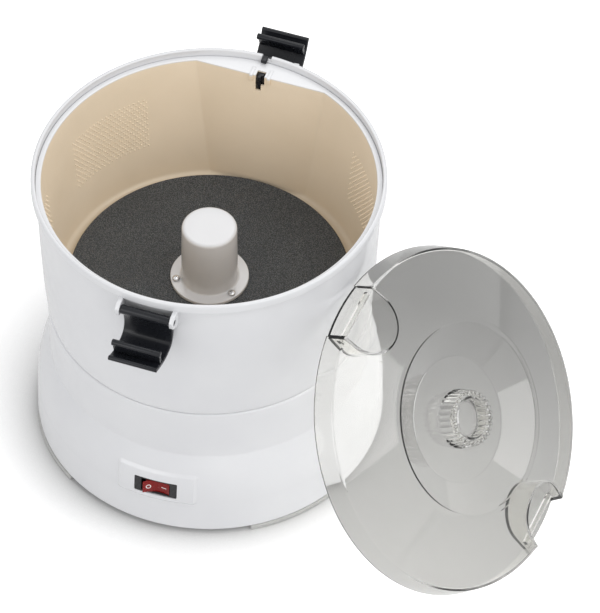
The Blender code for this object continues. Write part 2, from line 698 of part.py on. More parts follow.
def make_base_shell():
    collar_corner = (COLLAR_RADIUS - COLLAR_ROUNDING, DECK_Z - COLLAR_ROUNDING)
    heights = [FLARE_TOP_Z - (FLARE_TOP_Z - SHOULDER_Z) * i / FLARE_STATIONS for i in range(FLARE_STATIONS + 1)]
    profile = [(BUSH_RADIUS + GAP, BOSS_LOW_Z), (BUSH_RADIUS + GAP, DECK_Z)]
    profile += quarter_turn(collar_corner, COLLAR_ROUNDING, pi / 2)
    profile += [(base_radius(z), z) for z in heights]
    profile += [(BASE_RADIUS, BASE_EDGE_Z)]
    shell = turned("base_shell", profile, "white_plastic", ROUND_STEPS, wall=BASE_WALL)
    inner, middle = BASE_RADIUS - BASE_RIM_WIDTH, BASE_RADIUS - BASE_WALL / 2
    flange = turned("base_flange", [
        (inner, PLATE_THICKNESS), (middle, PLATE_THICKNESS), (middle, BASE_EDGE_Z), (inner, BASE_EDGE_Z),
    ], steps=ROUND_STEPS, closed=True)
    join(shell, flange)

    spans = PAD_STATIONS - 1
    low, high = PAD_LOW_Z + PAD_CHAMFER, PAD_HIGH_Z - PAD_CHAMFER
    stations = [high - (high - low) * i / spans for i in range(PAD_STATIONS)]
    band = [(base_radius(PAD_HIGH_Z) - BASE_WALL / 2, PAD_HIGH_Z),
            (base_radius(PAD_HIGH_Z) + PAD_PROUD - PAD_CHAMFER, PAD_HIGH_Z)]
    band += [(base_radius(z) + PAD_PROUD, z) for z in stations]
    band += [(base_radius(PAD_LOW_Z) + PAD_PROUD - PAD_CHAMFER, PAD_LOW_Z),
             (base_radius(PAD_LOW_Z) - BASE_WALL / 2, PAD_LOW_Z)]
    pad = turned("switch_pad", band, steps=ROUND_STEPS, closed=True)
    block = box("pad_block", (-PAD_WIDTH / 2, -2 * BASE_RADIUS, 0), (PAD_WIDTH / 2, 0, DECK_Z))
    keep_inside(pad, follow(block, SWITCH_FRONT))
    window = box("switch_window",
                 (-SWITCH_WIDTH / 2 - GAP, -SWITCH_DEPTH / 2, -SWITCH_HEIGHT / 2 - GAP),
                 (SWITCH_WIDTH / 2 + GAP, SWITCH_DEPTH, SWITCH_HEIGHT / 2 + GAP))
    follow(window, SWITCH_SEAT)
    join(shell, pad)
    cut(shell, window)

    for i, azimuth in enumerate(PILLAR_AZIMUTHS, 1):
        at = ring_point(PILLAR_RING, azimuth)
        join(shell, cylinder(f"pillar_{i}", BOSS_RADIUS, PLATE_THICKNESS + GAP, PILLAR_TOP_Z, steps=PLAIN_STEPS, at=at))
        cut(shell, screw_hole(f"pillar_hole_{i}", at, PLATE_THICKNESS, PLATE_THICKNESS + SCREW_BITE + OVERRUN))
    for i, at in enumerate(drive_plate_fixings(), 1):
        low = DRIVE_PLATE_Z + DRIVE_PLATE_THICKNESS + GAP
        join(shell, cylinder(f"deck_boss_{i}", BOSS_RADIUS, low, DECK_Z - BASE_WALL + SINK, steps=PLAIN_STEPS, at=at))
        cut(shell, screw_hole(f"deck_boss_hole_{i}", at, low - OVERRUN, low + SCREW_BITE + OVERRUN))
    for i, azimuth in enumerate(BOWL_SCREW_AZIMUTHS, 1):
        at = ring_point(BOWL_SCREW_RING, azimuth)
        cut(shell, screw_hole(f"deck_hole_{i}", at, DECK_Z - BASE_WALL - OVERRUN, DECK_Z + OVERRUN))
    cut(shell, cylinder("deck_rod_hole", ROD_RADIUS + ROD_CLEARANCE, DECK_Z - BASE_WALL - OVERRUN, DECK_Z + OVERRUN,
                        steps=SCREW_STEPS, at=(0, ROD_FOOT_RING)))
    rib_back = microswitch_front() - GAP
    join(shell, box("microswitch_rib",
                    (-MICROSWITCH_WIDTH / 2, rib_back - BRACKET_RIB, MICROSWITCH_TOP_Z - MICROSWITCH_HEIGHT),
                    (MICROSWITCH_WIDTH / 2, rib_back, DECK_Z - BASE_WALL + SINK)))
    gland_hole = cylinder("gland_hole", GLAND_BODY + GAP, -GLAND_LENGTH, GLAND_LENGTH)
    gland_hole.rotation_euler = (pi / 2, 0, 0)
    gland_hole.location = (0, base_radius(GLAND_Z), GLAND_Z)
    cut(shell, gland_hole)


def drive_plate_fixings():
    depth = DRIVE_PLATE_HALF_DEPTH - DRIVE_PLATE_EDGE
    return [(x, y) for x in (DRIVE_PLATE_LEFT + DRIVE_PLATE_EDGE, DRIVE_PLATE_RIGHT - DRIVE_PLATE_EDGE)
            for y in (-depth, depth)]


def make_base_plate():
    radius = BASE_RADIUS - BASE_RIM_WIDTH - PLATE_CLEARANCE
    plate = cylinder("base_plate", radius, 0, PLATE_THICKNESS, "white_plastic", ROUND_STEPS)
    for i in range(VENT_COUNT):
        x = MOTOR_X + (i - (VENT_COUNT - 1) / 2) * VENT_PITCH
        low = (x - VENT_WIDTH / 2, -VENT_LENGTH / 2, -OVERRUN)
        high = (x + VENT_WIDTH / 2, VENT_LENGTH / 2, PLATE_THICKNESS + OVERRUN)
        if abs(x) > VENT_WIDTH:
            cut(plate, box(f"vent_{i + 1}", low, high))
    for i, azimuth in enumerate(PILLAR_AZIMUTHS, 1):
        at = ring_point(PILLAR_RING, azimuth)
        cut(plate, screw_hole(f"plate_hole_{i}", at, -OVERRUN, PLATE_THICKNESS + OVERRUN))
        cut(plate, screw_hole(f"plate_recess_{i}", at, -OVERRUN, BASE_SCREW_RECESS, BASE_SCREW_HEAD + GAP))
        screw(f"base_screw_{i}", at, BASE_SCREW_RECESS, 1, PLATE_THICKNESS - BASE_SCREW_RECESS + SCREW_BITE,
              head=BASE_SCREW_HEAD, head_height=BASE_SCREW_HEAD_HEIGHT)


def make_feet():
    outer = BASE_RADIUS + FOOT_PROUD
    steps = 10
    for name, azimuth in zip(FOOT_NAMES, FOOT_AZIMUTHS):
        angles = [azimuth + FOOT_ARC * (i / steps - 0.5) for i in range(steps + 1)]
        outline = [ring_point(outer, a) for a in angles]
        outline += [ring_point(outer - FOOT_WIDTH, a) for a in reversed(angles)]
        outline_solid(name, [outline], -FOOT_HEIGHT, -GAP, "foot_rubber")


def make_cord_gland():
    profile = [
        (GLAND_BORE, GLAND_FLANGE_THICKNESS + GAP), (GLAND_FLANGE - GAP, GLAND_FLANGE_THICKNESS + GAP),
        (GLAND_FLANGE, GLAND_FLANGE_THICKNESS), (GLAND_FLANGE, GAP), (GLAND_BODY, GAP),
        (GLAND_BODY, GAP - GLAND_LENGTH), (GLAND_BORE, GAP - GLAND_LENGTH),
    ]
    gland = turned("cord_gland", profile, "black_plastic", closed=True)
    gland.rotation_euler = (-pi / 2, 0, 0)
    gland.location = (0, base_radius(GLAND_Z), GLAND_Z)


def make_switch():
    well_x = ROCKER_WIDTH / 2 + ROCKER_SIDE_CLEARANCE
    well_z = ROCKER_HEIGHT / 2 + GAP
    housing = box("switch_housing", (-SWITCH_WIDTH / 2, 0, -SWITCH_HEIGHT / 2),
                  (SWITCH_WIDTH / 2, SWITCH_DEPTH, SWITCH_HEIGHT / 2), "grey_plastic")
    well = box("rocker_well", (-well_x, -OVERRUN, -well_z), (well_x, ROCKER_WELL, well_z))
    follow(well, SWITCH_SEAT)
    cut(follow(housing, SWITCH_SEAT), well)
    half = ROCKER_WIDTH / 2
    outline = [
        (-half, -ROCKER_LOBE), (-half, ROCKER_BELLY / 2), (-half / 2, ROCKER_BELLY), (half / 2, ROCKER_BELLY),
        (half, ROCKER_BELLY / 2), (half, -ROCKER_LOBE), (half / 2, -ROCKER_DIP - SINK), (0, -ROCKER_DIP),
        (-half / 2, -ROCKER_DIP - SINK),
    ]
    rocker = outline_solid("switch_rocker", [outline], -ROCKER_HEIGHT / 2, ROCKER_HEIGHT / 2, "red_plastic")
    rocker.location = (0, ROCKER_PIVOT_DEPTH, 0)
    rocker.rotation_euler = (0, 0, ROCKER_TILT)
    follow(rocker, SWITCH_SEAT)


# Drive

def make_drive_plate():
    low, high = DRIVE_PLATE_Z, DRIVE_PLATE_Z + DRIVE_PLATE_THICKNESS
    plate = box("drive_plate", (DRIVE_PLATE_LEFT, -DRIVE_PLATE_HALF_DEPTH, low),
                (DRIVE_PLATE_RIGHT, DRIVE_PLATE_HALF_DEPTH, high), "sheet_steel")
    cut(plate, cylinder("bush_hole", BUSH_RADIUS + GAP, low - OVERRUN, high + OVERRUN))
    cut(plate, cylinder("pinion_hole", PINION_HOLE, low - OVERRUN, high + OVERRUN, at=(MOTOR_X, 0)))
    for i, at in enumerate(drive_plate_fixings(), 1):
        cut(plate, screw_hole(f"fixing_hole_{i}", at, low - OVERRUN, high + OVERRUN))
        screw(f"drive_plate_screw_{i}", at, low, 1, DRIVE_PLATE_THICKNESS + SCREW_BITE)
    for side, name in ((-1, "front"), (1, "rear")):
        at = (MOTOR_X, side * MOTOR_SCREW_OFFSET)
        cut(plate, screw_hole(f"motor_hole_{name}", at, low - OVERRUN, high + OVERRUN))
        screw(f"motor_screw_{name}", at, high, -1, high - (STATOR_TOP_Z - STATOR_HEIGHT - BRACKET_RISE))


def make_output_shaft():
    cylinder("output_shaft", SHAFT_RADIUS, SHAFT_LOW_Z, SHAFT_HIGH_Z, "bright_steel")
    bore = SHAFT_RADIUS + GAP
    plate_top = DRIVE_PLATE_Z + DRIVE_PLATE_THICKNESS
    flange_top = plate_top + GAP + BUSH_FLANGE_THICKNESS
    turned("lower_bush", [
        (bore, flange_top), (BUSH_FLANGE, flange_top), (BUSH_FLANGE, plate_top + GAP), (BUSH_RADIUS, plate_top + GAP),
        (BUSH_RADIUS, LOWER_BUSH_LOW_Z), (bore, LOWER_BUSH_LOW_Z),
    ], "bronze", closed=True)
    flange_low = BOSS_LOW_Z - GAP - BUSH_FLANGE_THICKNESS
    turned("upper_bush", [
        (bore, DECK_Z), (BUSH_RADIUS, DECK_Z), (BUSH_RADIUS, BOSS_LOW_Z - GAP), (BUSH_FLANGE, BOSS_LOW_Z - GAP),
        (BUSH_FLANGE, flange_low), (bore, flange_low),
    ], "bronze", closed=True)
    ring_top = LOWER_BUSH_LOW_Z - GAP
    turned("shaft_clip_ring", [
        (bore, ring_top), (CLIP_RING_RADIUS, ring_top), (CLIP_RING_RADIUS, ring_top - CLIP_RING_THICKNESS),
        (bore, ring_top - CLIP_RING_THICKNESS),
    ], "sheet_steel", closed=True)
    seal_top = CHIMNEY_TOP_Z - GAP
    turned("shaft_seal", [
        (bore, seal_top), (CHIMNEY_BORE - GAP, seal_top), (CHIMNEY_BORE - GAP, seal_top - SEAL_HEIGHT),
        (bore, seal_top - SEAL_HEIGHT),
    ], "seal_rubber", closed=True)
    dog = cylinder("drive_dog", DOG_RADIUS, DOG_LOW_Z, DOG_HIGH_Z, "bright_steel", steps=6)
    cut(dog, cylinder("dog_bore", bore, DOG_LOW_Z - OVERRUN, SHAFT_HIGH_Z + GAP))


def make_gears():
    bore = SHAFT_RADIUS + GAP
    top = GEAR_LOW_Z + GEAR_WIDTH
    gear = outline_solid("drive_gear", [gear_outline(GEAR_TEETH, pi / GEAR_TEETH, GEAR_FLANK_SHARES)], GEAR_LOW_Z, top, "gear_nylon")
    hub_top = BOSS_LOW_Z - GAP - BUSH_FLANGE_THICKNESS - GAP
    join(gear, cylinder("gear_hub", GEAR_HUB, top - SINK, hub_top))
    cut(gear, cylinder("gear_bore", bore, GEAR_LOW_Z - OVERRUN, hub_top + OVERRUN))
    low = GEAR_LOW_Z + (GEAR_WIDTH - PINION_WIDTH) / 2
    bore = MOTOR_SHAFT_RADIUS + GAP
    pinion = outline_solid("pinion", [gear_outline(PINION_TEETH, 0, PINION_FLANK_SHARES), circle_points(bore, SMALL_STEPS)],
                           low, low + PINION_WIDTH, "bronze")
    pinion.location.x = MOTOR_X


def make_motor():
    low, high = STATOR_TOP_Z - STATOR_HEIGHT, STATOR_TOP_Z
    left, right = MOTOR_X - STATOR_BACK, MOTOR_X + STATOR_FRONT
    stator = box("motor_stator", (left, -STATOR_HALF_DEPTH, low), (right, STATOR_HALF_DEPTH, high), "lamination_steel")
    cut(stator, cylinder("stator_bore", STATOR_BORE, low - OVERRUN, high + OVERRUN, at=(MOTOR_X, 0)))
    window_left = left + LIMB_WIDTH
    cut(stator, box("stator_window", (window_left, -WINDOW_HALF_DEPTH, low - OVERRUN),
                    (window_left + WINDOW_WIDTH, WINDOW_HALF_DEPTH, high + OVERRUN)))
    coil = box("motor_coil", (left - COIL_WALL, -WINDOW_HALF_DEPTH + GAP, low - COIL_WALL),
               (window_left + COIL_WALL, WINDOW_HALF_DEPTH - GAP, high + COIL_WALL), "copper_winding")
    bevel(coil, COIL_WALL / 3)
    cut(coil, box("coil_core", (left - GAP, -WINDOW_HALF_DEPTH - OVERRUN, low - GAP),
                  (window_left + GAP, WINDOW_HALF_DEPTH + OVERRUN, high + GAP)))

    for name, side in (("upper", 1), ("lower", -1)):
        seat = (high if side > 0 else low) + side * GAP
        far = seat + side * BRACKET_RISE
        near = far - side * BRACKET_THICKNESS
        half = BRACKET_WIDTH / 2
        lows, highs = sorted((near, far)), sorted((seat, near + side * SINK))
        bracket = box(f"motor_bracket_{name}", (MOTOR_X - half, -STATOR_HALF_DEPTH, lows[0]),
                      (MOTOR_X + half, STATOR_HALF_DEPTH, lows[1]), "sheet_steel")
        for end in (-1, 1):
            inner = end * (MOTOR_SCREW_OFFSET - 2 * SCREW_SHANK - BRACKET_THICKNESS / 2)
            across = sorted((inner, end * STATOR_HALF_DEPTH))
            leg = box(f"bracket_leg_{name}_{end}", (MOTOR_X - half, across[0], highs[0]),
                      (MOTOR_X + half, across[1], highs[1]))
            join(bracket, leg)
        boss = sorted((far, near - side * BRACKET_THICKNESS))
        join(bracket, cylinder(f"bracket_boss_{name}", BRACKET_BOSS, boss[0], boss[1], at=(MOTOR_X, 0)))
        ends = sorted((far + side * OVERRUN, seat - side * OVERRUN))
        cut(bracket, cylinder(f"bracket_bore_{name}", MOTOR_SHAFT_RADIUS + GAP, ends[0], ends[1], at=(MOTOR_X, 0)))
        for end in (-1, 1):
            at = (MOTOR_X, end * MOTOR_SCREW_OFFSET)
            cut(bracket, screw_hole(f"bracket_hole_{name}_{end}", at, ends[0], ends[1]))
    for end in (-1, 1):
        at = (MOTOR_X, end * MOTOR_SCREW_OFFSET)
        cut(stator, screw_hole(f"stator_hole_{end}", at, low - OVERRUN, high + OVERRUN))

    core_low, core_high = low + GAP, high - GAP
    pinion_top = GEAR_LOW_Z + (GEAR_WIDTH + PINION_WIDTH) / 2
    rotor = turned("motor_rotor", [
        (0, pinion_top + GAP), (MOTOR_SHAFT_RADIUS, pinion_top + GAP), (MOTOR_SHAFT_RADIUS, core_high),
        (ROTOR_RADIUS, core_high), (ROTOR_RADIUS, core_low), (MOTOR_SHAFT_RADIUS, core_low),
        (MOTOR_SHAFT_RADIUS, ROTOR_LOW_Z), (0, ROTOR_LOW_Z),
    ], "bright_steel")
    rotor.location.x = MOTOR_X

    fan_top = FAN_LOW_Z + FAN_HEIGHT
    fan = cylinder("motor_fan", FAN_RADIUS, fan_top - FAN_DISC, fan_top, "black_plastic", at=(MOTOR_X, 0))
    join(fan, cylinder("fan_hub", FAN_HUB, FAN_LOW_Z, fan_top - SINK, at=(MOTOR_X, 0)))
    for i in range(FAN_BLADES):
        blade = box(f"fan_blade_{i + 1}", (FAN_HUB - SINK, -FAN_BLADE / 2, FAN_LOW_Z),
                    (FAN_RADIUS - SINK, FAN_BLADE / 2, fan_top - SINK))
        turn = Matrix.Rotation(2 * pi * i / FAN_BLADES, 4, "Z")
        blade.matrix_world = Matrix.Translation((MOTOR_X, 0, 0)) @ turn @ Matrix.Translation(blade.location)
        join(fan, blade)
    cut(fan, cylinder("fan_bore", MOTOR_SHAFT_RADIUS + GAP, FAN_LOW_Z - OVERRUN, fan_top + OVERRUN, at=(MOTOR_X, 0)))


# Bowl

def make_bowl_shell():
    wall_top = RIM_Z - RIM_HEIGHT - RIM_UNDERCUT
    ledge = LINER_TOP_Z - LINER_FLANGE_THICKNESS - GAP
    heights = [SEAM_Z + (wall_top - SEAM_Z) * (i / DRUM_STATIONS) ** 2 for i in range(DRUM_STATIONS, -1, -1)]
    flange_top = SEAM_Z + DRUM_FLANGE_THICKNESS
    outer = [(RIM_INNER_RADIUS, RIM_Z), (RIM_RADIUS - RIM_ROUNDING, RIM_Z), (RIM_RADIUS, RIM_Z - RIM_ROUNDING),
             (RIM_RADIUS, RIM_Z - RIM_HEIGHT)]
    outer += [(drum_radius(z), z) for z in heights]
    inner = [(DRUM_FLANGE_INNER, SEAM_Z), (DRUM_FLANGE_INNER, flange_top)]
    inner += [(drum_radius(z) - DRUM_WALL, z) for z in [flange_top] + heights[::-1] if z >= flange_top]
    inner += [(DRUM_TOP_RADIUS - DRUM_WALL, ledge), (RIM_INNER_RADIUS, ledge)]
    shell = turned("bowl_shell", outer + inner, "white_plastic", ROUND_STEPS, closed=True)

    for side, name in ((-1, "front"), (1, "rear")):
        for end in (-1, 1):
            near = CLIP_WIDTH / 2 + EAR_SIDE_CLEARANCE
            far = near + EAR_THICKNESS
            wall = sqrt((DRUM_TOP_RADIUS - DRUM_WALL / 2) ** 2 - far ** 2)
            across, along = sorted((end * near, end * far)), sorted((side * wall, side * EAR_REACH))
            ear = box(f"ear_{name}_{end}", (across[0], along[0], EAR_LOW_Z), (across[1], along[1], EAR_HIGH_Z))
            bevel(ear, EAR_THICKNESS / 4, 1)
            join(shell, ear)
        hole = TRUNNION_RADIUS + GAP
        reach = CLIP_WIDTH / 2 + EAR_SIDE_CLEARANCE + EAR_THICKNESS + OVERRUN
        cut(shell, bar(f"trunnion_hole_{name}", hole, reach, (0, side * HINGE_RING, HINGE_Z), steps=12))
    for i, azimuth in enumerate(BOWL_SCREW_AZIMUTHS, 1):
        at = ring_point(BOWL_SCREW_RING, azimuth)
        cut(shell, screw_hole(f"flange_hole_{i}", at, SEAM_Z - OVERRUN, flange_top + OVERRUN))
        length = BASE_WALL + GAP + DRUM_FLANGE_THICKNESS + OVERRUN
        screw(f"bowl_screw_{i}", at, DECK_Z - BASE_WALL, 1, length)
    cut(shell, cylinder("flange_rod_hole", ROD_RADIUS + ROD_CLEARANCE, SEAM_Z - OVERRUN, flange_top + OVERRUN,
                        steps=SCREW_STEPS, at=(0, ROD_FOOT_RING)))
    cut(shell, box("rim_notch", (-RIM_NOTCH_WIDTH / 2, RIM_INNER_RADIUS - RIM_NOTCH_DEPTH, RIM_Z - RIM_NOTCH_DEPTH),
                   (RIM_NOTCH_WIDTH / 2, RIM_RADIUS + OVERRUN, RIM_Z + OVERRUN)))


def liner_inner(z):
    share = (z - LINER_FLOOR_Z) / (LINER_TOP_Z - LINER_FLOOR_Z)
    return LINER_FLOOR_RADIUS + (LINER_RADIUS - LINER_FLOOR_RADIUS) * share


def facet_inner(z):
    share = (z - LINER_FLOOR_Z) / (LINER_TOP_Z - LINER_FLOOR_Z)
    return FACET_FLOOR + (FACET_TOP - FACET_FLOOR) * share


def make_liner():
    flange_low = LINER_TOP_Z - LINER_FLANGE_THICKNESS
    under = LINER_FLOOR_Z - LINER_FLOOR_THICKNESS
    cove = (LINER_FLOOR_RADIUS - LINER_COVE, LINER_FLOOR_Z + LINER_COVE)
    cove_points = quarter_turn(cove, LINER_COVE, 0)[::-1]
    profile = [
        (LINER_RADIUS, LINER_TOP_Z), (RIM_INNER_RADIUS - GAP, LINER_TOP_Z), (RIM_INNER_RADIUS - GAP, flange_low),
        (liner_inner(flange_low) + LINER_WALL, flange_low), (liner_inner(under) + LINER_WALL, under),
        (CHIMNEY_RADIUS, under), (CHIMNEY_RADIUS, SEAM_Z), (CHIMNEY_BORE, SEAM_Z), (CHIMNEY_BORE, CHIMNEY_TOP_Z),
        (CHIMNEY_RADIUS, CHIMNEY_TOP_Z), (CHIMNEY_RADIUS, LINER_FLOOR_Z),
    ] + cove_points
    liner = turned("bowl_liner", profile, "liner_plastic", ROUND_STEPS, closed=True)

    # The flat facet: the round wall behind it is cut away and a flat wall with a shelf is put in.
    reach = LINER_RADIUS
    low, high = under - OVERRUN, flange_low
    away = [
        (facet_inner(low) + LINER_WALL / 2, low), (facet_inner(high) + LINER_WALL / 2, high),
        (RIM_INNER_RADIUS + OVERRUN, high), (RIM_INNER_RADIUS + OVERRUN, low),
    ]
    behind = outline_solid("behind_facet", [away], -reach, reach)
    side_on(behind)
    wall = [
        (facet_inner(under), under), (facet_inner(LINER_TOP_Z), LINER_TOP_Z), (LINER_RADIUS + LINER_WALL / 2, LINER_TOP_Z),
        (LINER_RADIUS + LINER_WALL / 2, flange_low), (facet_inner(flange_low) + LINER_WALL, flange_low),
        (facet_inner(under) + LINER_WALL, under),
    ]
    facet = outline_solid("facet_wall", [wall], -reach, reach)
    side_on(facet)
    envelope = turned("liner_envelope", [
        (0, LINER_TOP_Z + OVERRUN), (liner_inner(LINER_TOP_Z) + LINER_WALL / 2, LINER_TOP_Z + OVERRUN),
        (liner_inner(under) + LINER_WALL / 2, under - OVERRUN), (0, under - OVERRUN),
    ], steps=ROUND_STEPS)
    keep_inside(facet, envelope)
    cut(liner, behind)
    join(liner, facet)
    slot_low = ROD_TOP_Z - ROD_RADIUS - ROD_TRAVEL - 2 * GAP
    cut(liner, box("head_slot", (-SLOT_WIDTH / 2, ROD_RING - HEAD_REACH - OVERRUN, slot_low),
                   (SLOT_WIDTH / 2, ROD_RING + ROD_RADIUS + OVERRUN, LINER_TOP_Z + OVERRUN)))


def side_on(obj):
    """Stands an outline drawn as (y, z) and extruded along its own Z so that it runs along X."""
    obj.matrix_world = Matrix(((0, 0, 1, 0), (1, 0, 0, 0), (0, 1, 0, 0), (0, 0, 0, 1)))


def microswitch_front():
    return ROD_FOOT_RING - MICROSWITCH_DEPTH / 2


def make_interlock():
    body = box("microswitch", (-MICROSWITCH_WIDTH / 2, microswitch_front(), MICROSWITCH_TOP_Z - MICROSWITCH_HEIGHT),
               (MICROSWITCH_WIDTH / 2, microswitch_front() + MICROSWITCH_DEPTH, MICROSWITCH_TOP_Z), "grey_plastic")
    at = (0, ROD_FOOT_RING)
    cut(body, cylinder("button_well", BUTTON_RADIUS + GAP, MICROSWITCH_TOP_Z - BUTTON_WELL,
                       MICROSWITCH_TOP_Z + OVERRUN, steps=PLAIN_STEPS, at=at))
    button_top = MICROSWITCH_TOP_Z + BUTTON_HEIGHT
    cylinder("microswitch_button", BUTTON_RADIUS, MICROSWITCH_TOP_Z - BUTTON_WELL + ROD_TRAVEL + GAP, button_top,
             "red_plastic", steps=PLAIN_STEPS, at=at)

    spring_low = SEAM_Z + DRUM_FLANGE_THICKNESS + GAP
    collar_low = spring_low + SPRING_LENGTH + GAP
    rod = cylinder("interlock_rod", ROD_RADIUS, collar_low, ROD_TOP_Z, "black_plastic", steps=PLAIN_STEPS,
                   at=(0, ROD_RING))
    collar_high = collar_low + ROD_COLLAR_THICKNESS
    join(rod, cylinder("rod_collar", ROD_COLLAR, collar_low, collar_high, steps=PLAIN_STEPS, at=at))
    join(rod, cylinder("rod_foot", ROD_RADIUS, button_top + GAP, collar_high, steps=PLAIN_STEPS, at=at))
    join(rod, box("rod_head", (-HEAD_WIDTH / 2, ROD_RING - HEAD_REACH, ROD_TOP_Z - ROD_RADIUS),
                  (HEAD_WIDTH / 2, ROD_RING + ROD_RADIUS, HEAD_TOP_Z)))

    rise = SPRING_LENGTH - 2 * SPRING_WIRE
    count = SPRING_TURNS * SPRING_POINTS
    points = []
    for i in range(count + 1):
        turn = 2 * pi * i / SPRING_POINTS
        points.append((SPRING_RADIUS * cos(turn), ROD_FOOT_RING + SPRING_RADIUS * sin(turn),
                       spring_low + SPRING_WIRE + rise * i / count))
    tube("interlock_spring", points, SPRING_WIRE, "bright_steel", sides=1)
    print("spring: least gap between turns %.2f mm" % ((rise / SPRING_TURNS - 2 * SPRING_WIRE) / MM))


def make_disc():
    low = DISC_Z - DISC_THICKNESS
    disc = turned("peeling_disc", [
        (DISC_HOLE, DISC_Z), (DISC_RADIUS - DISC_CHAMFER, DISC_Z), (DISC_RADIUS, DISC_Z - DISC_CHAMFER),
        (DISC_RADIUS, low + DISC_CHAMFER), (DISC_RADIUS - DISC_CHAMFER, low), (DISC_HOLE, low),
    ], "abrasive_disc", ROUND_STEPS, closed=True)
    for i in range(WAVE_COUNT):
        bm = bmesh.new()
        bmesh.ops.create_uvsphere(bm, u_segments=20, v_segments=10, radius=1)
        bmesh.ops.scale(bm, vec=(WAVE_HALF_LENGTH, WAVE_HALF_WIDTH, WAVE_HEIGHT), verts=bm.verts)
        wave = add_object(f"wave_{i + 1}", mesh_from(bm, f"wave_{i + 1}"), None)
        azimuth = 2 * pi * i / WAVE_COUNT + pi / 2
        wave.location = (WAVE_RING * cos(azimuth), WAVE_RING * sin(azimuth), DISC_Z)
        wave.rotation_euler = (0, 0, azimuth)
        join(disc, wave)

    flange_top = DISC_Z + GAP + HUB_FLANGE_THICKNESS
    corner = (HUB_RADIUS - HUB_ROUNDING, HUB_TOP_Z - HUB_ROUNDING)
    profile = [(0, HUB_TOP_Z)] + quarter_turn(corner, HUB_ROUNDING, pi / 2)
    profile += [(HUB_FOOT_RADIUS, flange_top + HUB_WALL / 2), (HUB_FOOT_RADIUS + HUB_WALL / 2, flange_top),
                (HUB_FLANGE_RADIUS, flange_top)]
    hub = turned("hub_cap", profile, "white_plastic", HUB_STEPS, wall=HUB_WALL)
    join(hub, cylinder("socket_block", SOCKET_RADIUS, SOCKET_LOW_Z, HUB_TOP_Z - HUB_WALL + SINK))
    cut(hub, cylinder("socket_hex", DOG_RADIUS + 2 * GAP, SOCKET_LOW_Z - OVERRUN, DOG_HIGH_Z + GAP, steps=6))
    for i in range(DISC_SCREW_COUNT):
        at = ring_point(DISC_SCREW_RING, 2 * pi * (i + 0.5) / DISC_SCREW_COUNT)
        hole = DISC_SCREW_SHANK + GAP
        cut(hub, screw_hole(f"hub_hole_{i + 1}", at, DISC_Z - OVERRUN, flange_top + OVERRUN, hole))
        cut(disc, screw_hole(f"disc_hole_{i + 1}", at, low - OVERRUN, DISC_Z + OVERRUN, hole))
        screw(f"disc_screw_{i + 1}", at, flange_top, -1, HUB_FLANGE_THICKNESS + DISC_THICKNESS, head=DISC_SCREW_HEAD,
              shank=DISC_SCREW_SHANK, head_height=DISC_SCREW_HEAD_HEIGHT)


# Clips and lid

def make_clip(name, side, turn):
    """Drawn as (outwards, up) about its hinge, then stood at the front or the rear."""
    back = [(-across * CLIP_BACK, -down * CLIP_DROP) for across, down in CLIP_BACK_SHARES]
    lip = [(out * CLIP_REACH, up * CLIP_LIP_RISE - CLIP_DROP) for out, up in CLIP_LIP_SHARES]
    plate_path = smooth_path(back + lip, 2)
    half = CLIP_WIDTH / 2
    clip = outline_solid(name, [strip(plate_path, CLIP_WALL)], -half, half, "black_plastic")
    facing = Matrix.Rotation(0 if side > 0 else pi, 4, "Z")
    hinge = facing @ Matrix.Translation((0, HINGE_RING, HINGE_Z)) @ Matrix.Rotation(turn, 4, "X")
    stand = Matrix(((0, 0, 1, 0), (1, 0, 0, 0), (0, 1, 0, 0), (0, 0, 0, 1)))
    clip.matrix_world = hinge @ stand
    hook_path = [(HOOK_REACH - HOOK_BAR, -CLIP_DROP + CLIP_LIP_RISE / 2), (HOOK_REACH, -HOOK_DROP)]
    hook = outline_solid(name + "_hook", [strip(hook_path, CLIP_WALL)], -half + SINK, half - SINK)
    hook.matrix_world = hinge @ stand
    pieces = [hook]
    trunnion = half + EAR_SIDE_CLEARANCE + EAR_THICKNESS
    for label, radius, length, place in (
        ("barrel", BARREL_RADIUS, half - SINK, (0, 0)),
        ("trunnion", TRUNNION_RADIUS, trunnion, (0, 0)),
        ("bar", HOOK_BAR, half - SINK, (HOOK_REACH, -HOOK_DROP)),
    ):
        piece = bar(f"{name}_{label}", radius, length, (0, 0, 0), steps=16)
        shift = Matrix.Translation((0, *place))
        piece.matrix_world = hinge @ shift @ Matrix.Rotation(pi / 2, 4, "Y")
        pieces.append(piece)
    join(clip, *pieces)


